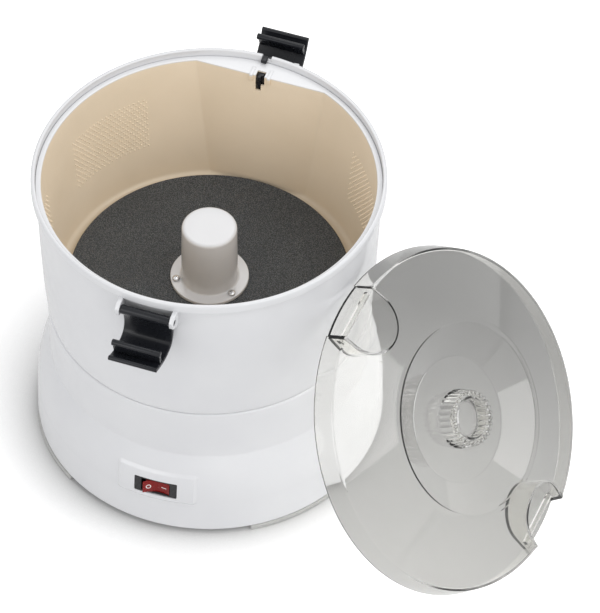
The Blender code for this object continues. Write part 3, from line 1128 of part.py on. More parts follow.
def make_lid():
    """Built in the lid's own frame and carried by an empty that leans on the drum.
    The pockets' walls end just inside the lid's outer face, so that no two faces lie in one another."""
    rise = LID_RADIUS * sin(LID_TILT)
    reach = LID_RADIUS * cos(LID_TILT)
    centre_z = rise - FOOT_HEIGHT
    distance = drum_radius(centre_z + rise) + 2 * GAP + reach
    seat = empty("lid_seat", (0, 0, 0))
    seat.matrix_world = (
        Matrix.Rotation(LID_AZIMUTH, 4, "Z") @ Matrix.Translation((distance, 0, centre_z))
        @ Matrix.Rotation(LID_TILT, 4, "Y") @ Matrix.Rotation(pi / 2 + LID_SPIN, 4, "Z")
    )
    bpy.context.view_layer.update()

    corner = (LID_CORNER_RADIUS - LID_CORNER_ROUNDING, LID_CORNER_Z - LID_CORNER_ROUNDING)
    crest_in = LID_CREST_RADIUS - LID_CREST_WIDTH / 2
    crest_out = LID_CREST_RADIUS + LID_CREST_WIDTH / 2
    slope = (LID_CREST_Z - LID_CORNER_Z) / (LID_CORNER_RADIUS - crest_out)
    outside = [
        (crest_in, LID_CREST_Z), (crest_out, LID_CREST_Z - SINK),
        (LID_CORNER_RADIUS - LID_CORNER_ROUNDING, LID_CORNER_Z + slope * LID_CORNER_ROUNDING / 2),
        (LID_CORNER_RADIUS, LID_CORNER_Z - LID_CORNER_ROUNDING), (LID_RADIUS, 0),
    ]
    profile = [
        (0, CUP_WELL_Z), (CUP_WELL_RADIUS, CUP_WELL_Z), (CUP_BORE, CUP_TOP_Z), (CUP_RADIUS, CUP_TOP_Z),
        (CUP_FOOT_RADIUS, LID_RECESS_Z), (LID_RECESS_RADIUS, LID_RECESS_Z),
    ] + outside
    lid = turned("lid", profile, "clear_plastic", ROUND_STEPS, wall=LID_WALL)
    pieces = [lid]
    inset = LID_WALL / 4
    within = [(r - inset, z - inset) for r, z in outside]
    envelope = turned("lid_envelope", [(0, within[0][1]), *within, (0, within[-1][1])], steps=ROUND_STEPS)
    pieces.append(envelope)
    for i, side in enumerate((1, -1), 1):
        outer = pocket_outline(side, 0)
        inner = pocket_outline(side, LID_WALL)
        hole = outline_solid(f"pocket_hole_{i}", [pocket_outline(side, LID_WALL / 2)], -OVERRUN, LID_CREST_Z + OVERRUN)
        cup = outline_solid(f"pocket_cup_{i}", [outer], POCKET_FLOOR_Z - LID_WALL, LID_CREST_Z)
        room = outline_solid(f"pocket_room_{i}", [inner], POCKET_FLOOR_Z, LID_CREST_Z + OVERRUN)
        rail = box(f"pocket_bar_{i}", (-POCKET_WIDTH / 2 + SINK, -POCKET_BAR_WIDTH / 2, POCKET_BAR_Z),
                   (POCKET_WIDTH / 2 - SINK, POCKET_BAR_WIDTH / 2, POCKET_BAR_Z + POCKET_BAR_HEIGHT))
        rail.location.y = side * POCKET_BAR_RING
        cut(cup, room)
        keep_inside(cup, envelope)
        cut(lid, hole)
        join(lid, cup, rail)
        pieces += [hole, cup, room, rail]
    for piece in pieces:
        follow(piece, seat)
    return seat.matrix_world


def pocket_outline(side, inset):
    """A D, round towards the lid's axis and open at the rim."""
    half = POCKET_WIDTH / 2 - inset
    middle = POCKET_INNER + POCKET_WIDTH / 2
    steps = 14
    points = [(half * cos(pi * i / steps), side * (middle - half * sin(pi * i / steps))) for i in range(steps + 1)]
    end = side * (LID_RADIUS + OVERRUN)
    return [(half, end)] + points + [(-half, end)]


make_base_shell()
make_base_plate()
make_feet()
make_cord_gland()
make_switch()
make_drive_plate()
make_output_shaft()
make_gears()
make_motor()
make_bowl_shell()
make_liner()
make_interlock()
make_disc()
make_clip("front_clip", -1, 0)
make_clip("rear_clip", 1, REAR_CLIP_TURN)
make_lid()
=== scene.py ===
from math import atan2, cos, hypot, pi, radians, sin, sqrt, tan
import bmesh
import bpy
from mathutils import Matrix, Quaternion, Vector


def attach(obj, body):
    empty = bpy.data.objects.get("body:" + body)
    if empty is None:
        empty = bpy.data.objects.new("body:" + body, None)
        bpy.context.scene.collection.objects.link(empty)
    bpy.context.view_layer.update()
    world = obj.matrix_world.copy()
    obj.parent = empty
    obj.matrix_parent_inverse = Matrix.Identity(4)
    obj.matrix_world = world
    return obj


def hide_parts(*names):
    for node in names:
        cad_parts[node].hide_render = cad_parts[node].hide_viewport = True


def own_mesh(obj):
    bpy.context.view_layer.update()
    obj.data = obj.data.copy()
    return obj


# Looks of an electric potato peeler with a clear lid. Sizes in the dictionaries are millimetres.
# Azimuths are counted from the front, where the switch is, towards +X.

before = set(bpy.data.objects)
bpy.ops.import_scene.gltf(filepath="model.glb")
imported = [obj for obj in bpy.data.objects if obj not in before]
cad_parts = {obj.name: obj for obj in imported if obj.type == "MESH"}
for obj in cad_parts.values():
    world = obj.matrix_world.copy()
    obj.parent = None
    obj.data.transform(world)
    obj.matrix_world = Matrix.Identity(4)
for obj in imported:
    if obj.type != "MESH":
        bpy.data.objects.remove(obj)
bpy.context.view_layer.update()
mm = 0.001
overrun = 1
print("frame loaded:", len(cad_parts), "nodes")


# Node trees for the finishes

class Nodes:
    # a node tree whose nodes are made, set and linked in one call
    def __init__(self, tree):
        self.tree = tree

    def put(self, socket, value):
        if isinstance(value, bpy.types.NodeSocket):
            self.tree.links.new(value, socket)
        elif value is not None and socket.type == "RGBA":
            socket.default_value = (*value, 1) if isinstance(value, tuple) else (value, value, value, 1)
        elif value is not None:
            socket.default_value = value

    def node(self, kind, given=None, **values):
        made = self.tree.nodes.new(kind)
        for key, value in values.items():
            setattr(made, key, value)
        for socket, value in (given or {}).items():
            self.put(made.inputs[socket], value)
        return made


class Shader(Nodes):
    # a material, or the world, with what leads to its last node
    def __init__(self, name, owner=None, last="Principled BSDF"):
        self.owner = owner or bpy.data.materials.new(name)
        self.owner.use_nodes = True
        super().__init__(self.owner.node_tree)
        self.last = self.tree.nodes[last]
        self.space = self.node("ShaderNodeTexCoord").outputs["Object"]

    def stretched(self, scale):
        return self.node("ShaderNodeMapping", {"Vector": self.space, "Scale": scale}).outputs["Vector"]

    def noise(self, scale, detail=3, space=None):
        given = {"Scale": scale, "Detail": detail, "Vector": space or self.space}
        return self.node("ShaderNodeTexNoise", given).outputs["Fac"]

    def grains(self, scale):
        return self.node("ShaderNodeTexVoronoi", {"Scale": scale, "Vector": self.space}).outputs["Distance"]

    def bands(self, pitch, direction="Z", distortion=0.0):
        given = {"Scale": 2 * pi / (20 * pitch * mm), "Distortion": distortion, "Vector": self.space}
        return self.node("ShaderNodeTexWave", given, bands_direction=direction).outputs["Fac"]

    def along(self, axis):
        return self.node("ShaderNodeSeparateXYZ", {0: self.space}).outputs[axis]

    def seenBy(self, first, *others):
        # 1 for rays of the named kinds
        path = self.node("ShaderNodeLightPath").outputs
        total = path[first]
        for kind in others:
            total = self.node("ShaderNodeMath", {0: total, 1: path[kind]}, operation="MAXIMUM").outputs[0]
        return total

    def between(self, factor, low, high, start=0.3, end=0.7):
        given = {"Value": factor, "From Min": start, "From Max": end, "To Min": low, "To Max": high}
        return self.node("ShaderNodeMapRange", given).outputs["Result"]

    def blended(self, factor, first, second):
        made = self.node("ShaderNodeMix", {"Factor": factor}, data_type="RGBA")
        for socket, colour in zip([s for s in made.inputs if s.type == "RGBA"], (first, second)):
            self.put(socket, colour)
        return [s for s in made.outputs if s.type == "RGBA"][0]

    def mottled(self, scale, detail, colour, shade):
        return self.blended(self.between(self.noise(scale, detail), 0, 1), colour, shade)

    def worn(self, scale, detail, rough):
        return self.between(self.noise(scale, detail), *rough)

    def raised(self, height, distance, strength=1.0, below=None):
        given = {"Height": height, "Distance": distance * mm, "Strength": strength, "Normal": below}
        return self.node("ShaderNodeBump", given).outputs["Normal"]

    def finish(self, colour, rough, normal=None, **fixed):
        fixed |= {"Base_Color": colour, "Roughness": rough, "Normal": normal}
        for socket, value in fixed.items():
            self.put(self.last.inputs[socket.replace("_", " ")], value)
        return self.owner


def mouldedPlastic(name, colour, shade, rough, grain=0.02, **fixed):
    # two shades in soft clouds, a roughness that varies as handled plastic does, and a fine mould grain
    make = Shader(name)
    skin = make.raised(make.noise(1500, 2), grain, 0.5)
    wave = make.raised(make.noise(55, 1), grain * 4, 0.25, skin)
    return make.finish(make.mottled(22, 4, colour, shade), make.worn(95, 5, rough), wave, **fixed)


def clearPlastic(name, colour, shade, rough):
    # smoke-tinted clear plastic with a slightly uneven moulded face
    make = Shader(name)
    skin = make.raised(make.noise(42, 2), 0.06, 0.35)
    return make.finish(make.mottled(14, 3, colour, shade), make.worn(70, 5, rough), skin,
                       Transmission_Weight=1.0, IOR=1.46)


def linerPlastic(name, colour, shade, ledge, rough):
    # the cream on the wall is a painted warm reflection, and the ledge and the shelf are as white as the drum
    make = Shader(name)
    high = make.between(make.along("Z"), 0, 1, 0.2216, 0.2224)
    # painted reflection: below the ledge the wall takes the cream tones, above it the drum's white
    tone = make.blended(high, make.mottled(22, 4, colour, shade), ledge)
    return make.finish(tone, make.worn(95, 5, rough), make.raised(make.noise(1500, 2), 0.03, 0.5))


def ribbedPlastic(name, colour, shade, rough, pitch):
    make = Shader(name)
    ribs = make.bands(pitch)
    tone = make.blended(make.between(ribs, 0, 1), colour, shade)
    return make.finish(tone, make.worn(95, 5, rough), make.raised(ribs, 0.2, 0.8), Specular_IOR_Level=0.3)


def rubber(name, colour, shade, rough):
    make = Shader(name)
    skin = make.raised(make.noise(2200, 3), 0.06, 0.7)
    return make.finish(make.mottled(240, 5, colour, shade), make.worn(600, 3, rough), skin)


def rolledMetal(name, colour, shade, rough, stretch=(900, 40, 900)):
    # drawn or rolled metal, with its grain along one axis
    make = Shader(name)
    lines = make.noise(1, 4, make.stretched(stretch))
    tone = make.blended(make.between(lines, 0, 1), colour, shade)
    return make.finish(tone, make.worn(60, 5, rough), make.raised(lines, 0.012, 0.6), Metallic=1.0)


def stackedSheets(name, colour, shade, rough, pitch):
    make = Shader(name)
    sheets = make.bands(pitch)
    rust = make.noise(180, 5)
    tone = make.blended(make.between(sheets, 0, 1), colour, shade)
    tone = make.blended(make.between(rust, 0, 0.5, 0.55, 0.8), tone, (0.16, 0.09, 0.05))
    return make.finish(tone, make.between(rust, *rough), make.raised(sheets, 0.08, 0.8), Metallic=1.0)


def woundWire(name, colour, shade, rough, pitch):
    make = Shader(name)
    turns = make.bands(pitch, "Y", 0.6)
    tone = make.blended(make.between(turns, 0, 1), shade, colour)
    return make.finish(tone, make.worn(300, 3, rough), make.raised(turns, 0.25), Metallic=0.8)


def sinteredMetal(name, colour, shade, rough):
    make = Shader(name)
    grains = make.grains(1600)
    tone = make.blended(make.between(grains, 0, 1, 0.1, 0.6), colour, shade)
    return make.finish(tone, make.between(grains, *rough, 0, 0.6), make.raised(grains, 0.05), Metallic=1.0)


def abrasiveCoat(name, binder, grit, paintedGlint):
    # bonded grit: dark binder, grey grains and a few painted glints that stand in for bright facets
    make = Shader(name)
    grains = make.grains(1250)
    tone = make.blended(make.between(grains, 0, 1, 0.12, 0.55), grit, binder)
    # painted glints: small light specks in the colour
    tone = make.blended(make.between(make.noise(2600, 1), 0, 1, 0.66, 0.74), tone, paintedGlint)
    tone = make.blended(make.between(make.noise(28, 4), 0, 0.35), tone, binder)
    skin = make.raised(make.grains(3100), -0.18, 1.0, make.raised(grains, -0.5, 1.0))
    return make.finish(tone, make.between(grains, 0.32, 0.75, 0, 0.6), skin, Metallic=0.15)


finishes = {
    "white": mouldedPlastic("glossWhitePlastic", (0.63, 0.635, 0.65), (0.605, 0.61, 0.63), (0.17, 0.27),
                            Coat_Weight=0.2, Coat_Roughness=0.08),
    # the liner's cream tones are a painted warm reflection; its ledge colour is its own white
    "liner": linerPlastic("creamLinerPlastic", (0.82, 0.70, 0.54), (0.78, 0.66, 0.50), (0.70, 0.705, 0.72),
                          (0.30, 0.42)),
    "black": mouldedPlastic("glossBlackPlastic", (0.009, 0.010, 0.013), (0.012, 0.013, 0.016), (0.22, 0.34),
                            0.025, Specular_IOR_Level=0.28),
    "ribbed": ribbedPlastic("ribbedBlackPlastic", (0.012, 0.012, 0.013), (0.035, 0.035, 0.038), (0.4, 0.5),
                            1.2),
    "grey": mouldedPlastic("darkGreyPlastic", (0.035, 0.036, 0.04), (0.05, 0.05, 0.055), (0.35, 0.5), 0.05),
    "red": mouldedPlastic("rockerRedPlastic", (0.20, 0.002, 0.0015), (0.15, 0.0015, 0.001), (0.18, 0.28),
                          0.01, Specular_IOR_Level=0.3),
    "mark": mouldedPlastic("markWhiteInk", (0.82, 0.82, 0.80), (0.76, 0.76, 0.74), (0.35, 0.5), 0.01),
    "clear": clearPlastic("smokeClearPlastic", (0.94, 0.935, 0.91), (0.92, 0.915, 0.89), (0.03, 0.06)),
    "foot": rubber("greyFootRubber", (0.42, 0.42, 0.41), (0.36, 0.36, 0.35), (0.5, 0.7)),
    "seal": rubber("blackSealRubber", (0.02, 0.02, 0.02), (0.035, 0.033, 0.03), (0.45, 0.65)),
    "sheet": rolledMetal("zincedSheetSteel", (0.55, 0.56, 0.56), (0.44, 0.45, 0.46), (0.25, 0.42)),
    "bright": rolledMetal("turnedBrightSteel", (0.68, 0.68, 0.68), (0.55, 0.55, 0.56), (0.14, 0.28),
                          (60, 60, 1400)),
    "stack": stackedSheets("laminationStack", (0.20, 0.20, 0.21), (0.09, 0.09, 0.10), (0.35, 0.6), 0.5),
    "copper": woundWire("enamelledCopperWire", (0.62, 0.24, 0.09), (0.22, 0.07, 0.025), (0.2, 0.35), 0.7),
    "bronze": sinteredMetal("sinteredBronze", (0.52, 0.36, 0.17), (0.36, 0.24, 0.11), (0.3, 0.5)),
    "nylon": mouldedPlastic("naturalNylon", (0.72, 0.69, 0.60), (0.66, 0.62, 0.53), (0.32, 0.45), 0.03),
    "abrasive": abrasiveCoat("bondedGrit", (0.045, 0.05, 0.055), (0.16, 0.17, 0.18), (0.5, 0.5, 0.5)),
}
print("finishes made:", len(finishes))


# Meshes

def placed(name, data):
    made = bpy.data.objects.new(name, data)
    bpy.context.scene.collection.objects.link(made)
    return made


def newPiece(name, bm, finish=None, sharpAngle=32):
    bmesh.ops.remove_doubles(bm, verts=bm.verts, dist=0.002 * mm)
    bmesh.ops.recalc_face_normals(bm, faces=bm.faces)
    mesh = bpy.data.meshes.new(name)
    bm.to_mesh(mesh)
    bm.free()
    if finish:
        mesh.materials.append(finishes[finish])
    return smoothed(placed(name, mesh), sharpAngle)


def smoothed(piece, sharpAngle=32):
    piece.data.shade_smooth()
    piece.data.set_sharp_from_angle(angle=radians(sharpAngle))
    return piece


def settled(piece):
    # replaces the modifiers by the mesh that they make
    depsgraph = bpy.context.evaluated_depsgraph_get()
    depsgraph.update()
    mesh = bpy.data.meshes.new_from_object(piece.evaluated_get(depsgraph))
    piece.modifiers.clear()
    old = piece.data
    piece.data = mesh
    bpy.data.meshes.remove(old)
    mesh.name = piece.name
    return piece


def combined(piece, tool, operation):
    modifier = piece.modifiers.new(operation.lower(), "BOOLEAN")
    modifier.operation = operation
    modifier.solver = "EXACT"
    modifier.object = tool
    settled(piece)
    bpy.data.objects.remove(tool, do_unlink=True)
    return smoothed(piece)


def cut(piece, bm):
    return combined(piece, newPiece("tool", bm), "DIFFERENCE")


def fused(piece, bm):
    return combined(piece, newPiece("tool", bm), "UNION")


def roundPoint(radius, azimuth, height=0.0):
    return Vector((radius * sin(azimuth), -radius * cos(azimuth), height))


def evenAngles(count):
    return [2 * pi * i / count for i in range(count)]


def softPath(points, steps=4, closed=True):
    # corners given as (radius, height, rounding) get a rounding
    path = []
    count = len(points)
    for i, point in enumerate(points):
        here = Vector(point[:2])
        if len(point) < 3 or not closed and i in (0, count - 1):
            path.append(tuple(here))
            continue
        before = Vector(points[i - 1][:2]) - here
        after = Vector(points[(i + 1) % count][:2]) - here
        reach = point[2] / tan(before.angle(after) / 2)
        start = here + before.normalized() * min(reach, before.length * 0.48)
        end = here + after.normalized() * min(reach, after.length * 0.48)
        for k in range(steps + 1):
            t = k / steps
            path.append(tuple(start * (1 - t) ** 2 + here * 2 * t * (1 - t) + end * t ** 2))
    return path


def offsetPath(path, distance):
    # the same path, moved sideways by a distance, to the right of its run
    moved = []
    for i, point in enumerate(path):
        sides = []
        for a, b in ((i - 1, i), (i, i + 1)):
            if a >= 0 and b < len(path):
                run = Vector(path[b]) - Vector(path[a])
                sides.append(Vector((run.y, -run.x)).normalized())
        side = sides[0] + sides[-1]
        moved.append(tuple(Vector(point) + side * (2 * distance / side.length_squared)))
    return moved


def addTurned(bm, profile, angles, closed=True, placing=roundPoint, matrix=None):
    # profile points are (radius, height); a point on the axis is one vertex
    rows = []
    for radius, height in profile:
        if radius < 1e-4:
            rows.append([bm.verts.new(Vector((0, 0, height)) * mm)])
        else:
            rows.append([bm.verts.new(placing(radius, a, height) * mm) for a in angles])
    pairs = list(zip(rows, rows[1:]))
    if closed and len(rows[0]) > 1 and len(rows[-1]) > 1:
        pairs.append((rows[-1], rows[0]))
    count = len(angles)
    for low, high in pairs:
        for i in range(count):
            k = (i + 1) % count
            corners = [low[i % len(low)], low[k % len(low)], high[k % len(high)], high[i % len(high)]]
            corners = list(dict.fromkeys(corners))
            if len(corners) > 2:
                bm.faces.new(corners)
    if matrix:
        moved = [v for row in rows for v in row]
        bmesh.ops.transform(bm, matrix=matrix, verts=moved)
    return bm


def turnedPiece(name, finish, profile, angles, steps=4, closed=True, **how):
    bm = addTurned(bmesh.new(), softPath(profile, steps, closed), angles, closed, **how)
    return newPiece(name, bm, finish)


def addPrism(bm, outline, low, high, matrix=None, edge=0.0, segments=3):
    # a flat outline as a solid between two heights, with its sharp edges rounded
    made = bmesh.new()
    floor = [made.verts.new((x * mm, y * mm, low * mm)) for x, y in outline]
    roof = [made.verts.new((x * mm, y * mm, high * mm)) for x, y in outline]
    made.faces.new(floor[::-1])
    made.faces.new(roof)
    for i in range(len(outline)):
        k = (i + 1) % len(outline)
        made.faces.new((floor[i], floor[k], roof[k], roof[i]))
    bmesh.ops.recalc_face_normals(made, faces=made.faces)
    if edge:
        sharp = [e for e in made.edges if e.calc_face_angle(0) > radians(40)]
        bmesh.ops.bevel(made, geom=sharp, offset=edge * mm, segments=segments, profile=0.5, affect="EDGES")
    if matrix:
        bmesh.ops.transform(made, matrix=matrix, verts=made.verts)
    mesh = bpy.data.meshes.new("prism")
    made.to_mesh(mesh)
    made.free()
    bm.from_mesh(mesh)
    bpy.data.meshes.remove(mesh)
    return bm


def addBox(bm, low, high, matrix=None, edge=0.0):
    outline = [(low[0], low[1]), (high[0], low[1]), (high[0], high[1]), (low[0], high[1])]
    return addPrism(bm, outline, low[2], high[2], matrix, edge)


def addRod(bm, radius, low, high, at=(0, 0), steps=32, edge=0.0, matrix=None):
    outline = [(at[0] + radius * cos(a), at[1] + radius * sin(a)) for a in evenAngles(steps)]
    return addPrism(bm, outline, low, high, matrix, edge)


def roundedRectangle(width, height, radius, steps=5):
    corners = [(width / 2, height / 2, radius), (-width / 2, height / 2, radius),
               (-width / 2, -height / 2, radius), (width / 2, -height / 2, radius)]
    return softPath(corners, steps)


def moved(x=0.0, y=0.0, z=0.0):
    return Matrix.Translation(Vector((x, y, z)) * mm)


# sideways takes (out, up, along) to (y, z, x), and inwards (across, up, -into) to (x, z, y)
sideways = Matrix(((0, 0, 1, 0), (1, 0, 0, 0), (0, 1, 0, 0), (0, 0, 0, 1)))
inwards = Matrix.Rotation(pi / 2, 4, "X")


# Repeats, by Geometry Nodes

def repeatTree():
    # one shape at each vertex of the piece's own mesh, turned to face outwards where Facing is 1
    tree = bpy.data.node_groups.new("repeatAtPoints", "GeometryNodeTree")
    sockets = {"Geometry": "Geometry", "Shape": "Object", "Facing": "Float", "Material": "Material"}
    for label, kind in sockets.items():
        tree.interface.new_socket(label, in_out="INPUT", socket_type="NodeSocket" + kind)
    tree.interface.new_socket("Geometry", in_out="OUTPUT", socket_type="NodeSocketGeometry")
    make = Nodes(tree)
    given = make.node("NodeGroupInput").outputs
    shape = make.node("GeometryNodeObjectInfo", {"Object": given["Shape"]}).outputs["Geometry"]
    place = make.node("ShaderNodeSeparateXYZ", {0: make.node("GeometryNodeInputPosition").outputs[0]}).outputs
    back = make.node("ShaderNodeMath", {0: place["Y"], 1: -1}, operation="MULTIPLY").outputs[0]
    turn = make.node("ShaderNodeMath", {0: place["X"], 1: back}, operation="ARCTAN2").outputs[0]
    turn = make.node("ShaderNodeMath", {0: turn, 1: given["Facing"]}, operation="MULTIPLY").outputs[0]
    turn = make.node("ShaderNodeCombineXYZ", {"Z": turn}).outputs[0]
    turn = make.node("FunctionNodeEulerToRotation", {0: turn}).outputs[0]
    spread = make.node("GeometryNodeInstanceOnPoints",
                       {"Points": given["Geometry"], "Instance": shape, "Rotation": turn})
    solid = make.node("GeometryNodeRealizeInstances", {0: spread.outputs["Instances"]})
    painted = make.node("GeometryNodeSetMaterial", {0: solid.outputs["Geometry"], "Material": given["Material"]})
    make.node("NodeGroupOutput", {0: painted.outputs["Geometry"]})
    return tree


repeats = repeatTree()


def grown(name, points, shape, finish, facing=0.0):
    # the shape at each point, kept as a plain mesh; the shape itself is removed
    mesh = bpy.data.meshes.new(name)
    mesh.from_pydata([Vector(p) * mm for p in points], [], [])
    piece = placed(name, mesh)
    modifier = piece.modifiers.new(name, "NODES")
    modifier.node_group = repeats
    values = {"Shape": shape, "Facing": facing, "Material": finishes[finish]}
    for item in repeats.interface.items_tree:
        if item.in_out == "INPUT" and item.name in values:
            modifier[item.identifier] = values[item.name]
    settled(piece)
    bpy.data.objects.remove(shape, do_unlink=True)
    return piece


def ridden(piece, body, slot, *nodes):
    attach(piece, body)
    if nodes:
        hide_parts(*nodes)
    return piece


# Base: skirt, collar and the raised pad of the switch

base = dict(
    edgeRadius=121.5, shoulderRadius=120.7, shoulderHeight=27, collarRadius=111.5, flareTop=66.5,
    deck=109.3, edgeHeight=0, wall=2.6, bossBore=8.6, bossLow=101, padHalf=29, padLow=25, padHigh=52.5,
    padProud=1.4, padRamp=3.0, padCorner=3.0, flangeInner=111.9, flange=3.2, pillarRing=106, pillarTop=75,
    pillarAzimuths=(-20, 20, 160, -160), bossRadius=4, screwRing=102, screwAzimuths=(45, 135, -135, -45),
    pilot=1.9, pillarLow=3.5, pillarHole=(3.2, 16.2), posts=[(x, y) for x in (-66, 48) for y in (-30, 30)],
    postLow=86.3, postHole=(85.3, 99.3), rodRing=104.2, rodHole=2.3, guideLow=(-10, 95.7, 86),
    guideHigh=(10, 100.7), sunk=0.4, windowGap=0.3,
)
seat = dict(height=37.5, width=30, tall=12.9, depth=17, face=120.552, lean=-6.764, azimuth=radians(1.7))
switchFront = Matrix.Rotation(seat["azimuth"], 4, "Z")
switchSeat = switchFront @ moved(y=-seat["face"], z=seat["height"])
switchSeat = switchSeat @ Matrix.Rotation(radians(seat["lean"]), 4, "X")


def skirtRadius(height):
    if height <= base["shoulderHeight"]:
        share = (height - base["edgeHeight"]) / (base["shoulderHeight"] - base["edgeHeight"])
        return base["edgeRadius"] + (base["shoulderRadius"] - base["edgeRadius"]) * share
    drop = base["shoulderRadius"] - base["collarRadius"]
    rise = base["flareTop"] - base["shoulderHeight"]
    arc = (rise ** 2 + drop ** 2) / (2 * drop)
    up = min(height, base["flareTop"]) - base["shoulderHeight"]
    return base["shoulderRadius"] - arc + sqrt(arc ** 2 - up ** 2)


def ringPlaces(name, height=0.0):
    return [roundPoint(base[name + "Ring"], radians(a), height) for a in base[name + "Azimuths"]]


def padRise(across, height):
    # how far the pad stands proud, ramped inside its rounded outline
    corner = base["padCorner"]
    middle = (base["padLow"] + base["padHigh"]) / 2
    outX = abs(across) - (base["padHalf"] - corner)
    outZ = abs(height - middle) - ((base["padHigh"] - base["padLow"]) / 2 - corner)
    outside = hypot(max(outX, 0), max(outZ, 0)) + min(max(outX, outZ), 0) - corner
    share = max(0.0, min(1.0, -outside / base["padRamp"]))
    return base["padProud"] * share * share * (3 - 2 * share)


def baseSurface(radius, azimuth, height):
    if cos(azimuth) > 0 and height < base["flareTop"] and radius > skirtRadius(height) - 0.1:
        radius += padRise(radius * sin(azimuth - seat["azimuth"]), height)
    return roundPoint(radius, azimuth, height)


def makeBase():
    edges = [(base["padHalf"] + 0.6 - 0.2 * i) / skirtRadius(40) for i in range(21)]
    turn = seat["azimuth"]
    angles = sorted(set(evenAngles(200)) | {(turn + side * e) % (2 * pi) for e in edges for side in (1, -1)})
    heights = [66.5, 65.5, 64, 62, 60, 58, 56, 54.5, 53.5]
    heights += [base["padHigh"] + 0.2 - 0.2 * i for i in range(19)]
    heights += [47.5, 45.5, 43.5, 41.5, 39.5, 37.5, 35.5, 33.5, 31.5, 29.5]
    heights += [base["padLow"] + 3.4 - 0.2 * i for i in range(19)]
    heights += [22, 19, 16, 13, 10, 7, 4, 2]
    wall, deck = base["wall"], base["deck"]
    collar = base["collarRadius"]
    profile = [(base["bossBore"], base["bossLow"]), (base["bossBore"], deck, 0.4), (60, deck), (100, deck),
               (collar, deck, 2.0), (collar, 98), (collar, 86), (collar, 76), (collar, 70), (collar, 67.5)]
    profile += [(skirtRadius(z), z) for z in heights]
    profile += [(base["edgeRadius"], base["edgeHeight"], 0.5), (base["flangeInner"], base["edgeHeight"], 0.3),
                (base["flangeInner"], base["flange"], 0.3),
                (skirtRadius(base["flange"]) - wall, base["flange"])]
    profile += [(skirtRadius(z) - wall, z) for z in (8, 18, 27, 36, 45, 54, 62)]
    profile += [(collar - wall, base["flareTop"]), (collar - wall, deck - wall, 1.0), (70, deck - wall),
                (base["bossBore"] + wall, deck - wall), (base["bossBore"] + wall, base["bossLow"])]
    shell = turnedPiece("baseShell", "white", profile, angles, placing=baseSurface)

    bosses = bmesh.new()
    under = deck - wall
    for at in ringPlaces("pillar"):
        addRod(bosses, base["bossRadius"], base["pillarLow"], base["pillarTop"], at, 24)
    for at in base["posts"]:
        addRod(bosses, base["bossRadius"], base["postLow"], under + base["sunk"], at, 24)
    addBox(bosses, base["guideLow"], (*base["guideHigh"], under + base["sunk"]))
    fused(shell, bosses)

    holes = bmesh.new()
    gap = 2 * base["windowGap"]
    window = roundedRectangle(seat["width"] + gap, seat["tall"] + gap, 1.0)
    addPrism(holes, window, -seat["depth"], 8, switchSeat @ inwards)
    for at in ringPlaces("pillar"):
        addRod(holes, base["pilot"], *base["pillarHole"], at, 16)
    for at in ringPlaces("screw"):
        addRod(holes, base["pilot"], under - overrun, deck + overrun, at, 16)
    for at in base["posts"]:
        addRod(holes, base["pilot"], *base["postHole"], at, 16)
    addRod(holes, base["rodHole"], under - overrun, deck + overrun, (0, base["rodRing"]), 16)
    addRod(holes, gland["body"] + 0.3, -9, 9, matrix=glandSeat)
    cut(shell, holes)
    ridden(shell, "machine", "white_plastic", "base_shell")


gland = dict(height=17, bore=3.6, body=5.4, flange=8, flangeThickness=2, length=9)
glandSeat = moved(y=skirtRadius(gland["height"]), z=gland["height"]) @ Matrix.Rotation(-pi / 2, 4, "X")


def makeGland():
    profile = [
        (gland["bore"], gland["flangeThickness"] + 0.3, 0.8), (6.2, gland["flangeThickness"] + 0.3, 0.5),
        (gland["flange"], gland["flangeThickness"] - 0.6, 0.6), (gland["flange"], 0.3, 0.2),
        (gland["body"], 0.3),
        (gland["body"], 0.3 - gland["length"], 0.5), (gland["bore"], 0.3 - gland["length"], 0.5),
    ]
    piece = turnedPiece("cordGland", "black", profile, evenAngles(64), matrix=glandSeat)
    ridden(piece, "machine", "black_plastic", "cord_gland")


feet = dict(outer=122.3, width=10, arc=30, low=-4, high=-0.3, azimuths=(-48, 48, 132, -132), edge=0.9)


def makeFeet():
    bm = bmesh.new()
    steps = 26
    for azimuth in feet["azimuths"]:
        turns = [radians(azimuth + feet["arc"] * (i / steps - 0.5)) for i in range(steps + 1)]
        outer = [roundPoint(feet["outer"], a) for a in turns]
        inner = [roundPoint(feet["outer"] - feet["width"], a) for a in reversed(turns)]
        outline = [(p.x, p.y) for p in outer + inner]
        addPrism(bm, outline, feet["low"], feet["high"], edge=feet["edge"])
    ridden(newPiece("footPads", bm, "foot"), "machine", "foot_rubber",
           "foot_front_left", "foot_front_right", "foot_rear_right", "foot_rear_left")


makeBase()
makeGland()
makeFeet()
print("base made")


# Rocker switch

rocker = dict(
    half=9.4, tall=10.2, lobe=4.2, dip=1.6, belly=3.2, pivotDepth=2.6, tilt=11, wellHalf=10.3,
    wellDepth=8.5, wellTall=10.8, markOffset=5.3, ringRadius=1.75, markWidth=0.5, markProud=0.04,
    markSunk=0.1,
)
rockerSeat = switchSeat @ moved(y=rocker["pivotDepth"]) @ Matrix.Rotation(radians(rocker["tilt"]), 4, "Z")


def rockerFace(across):
    share = min(1.0, abs(across) / rocker["half"])
    return -(rocker["dip"] + (rocker["lobe"] - rocker["dip"]) * share ** 1.5)


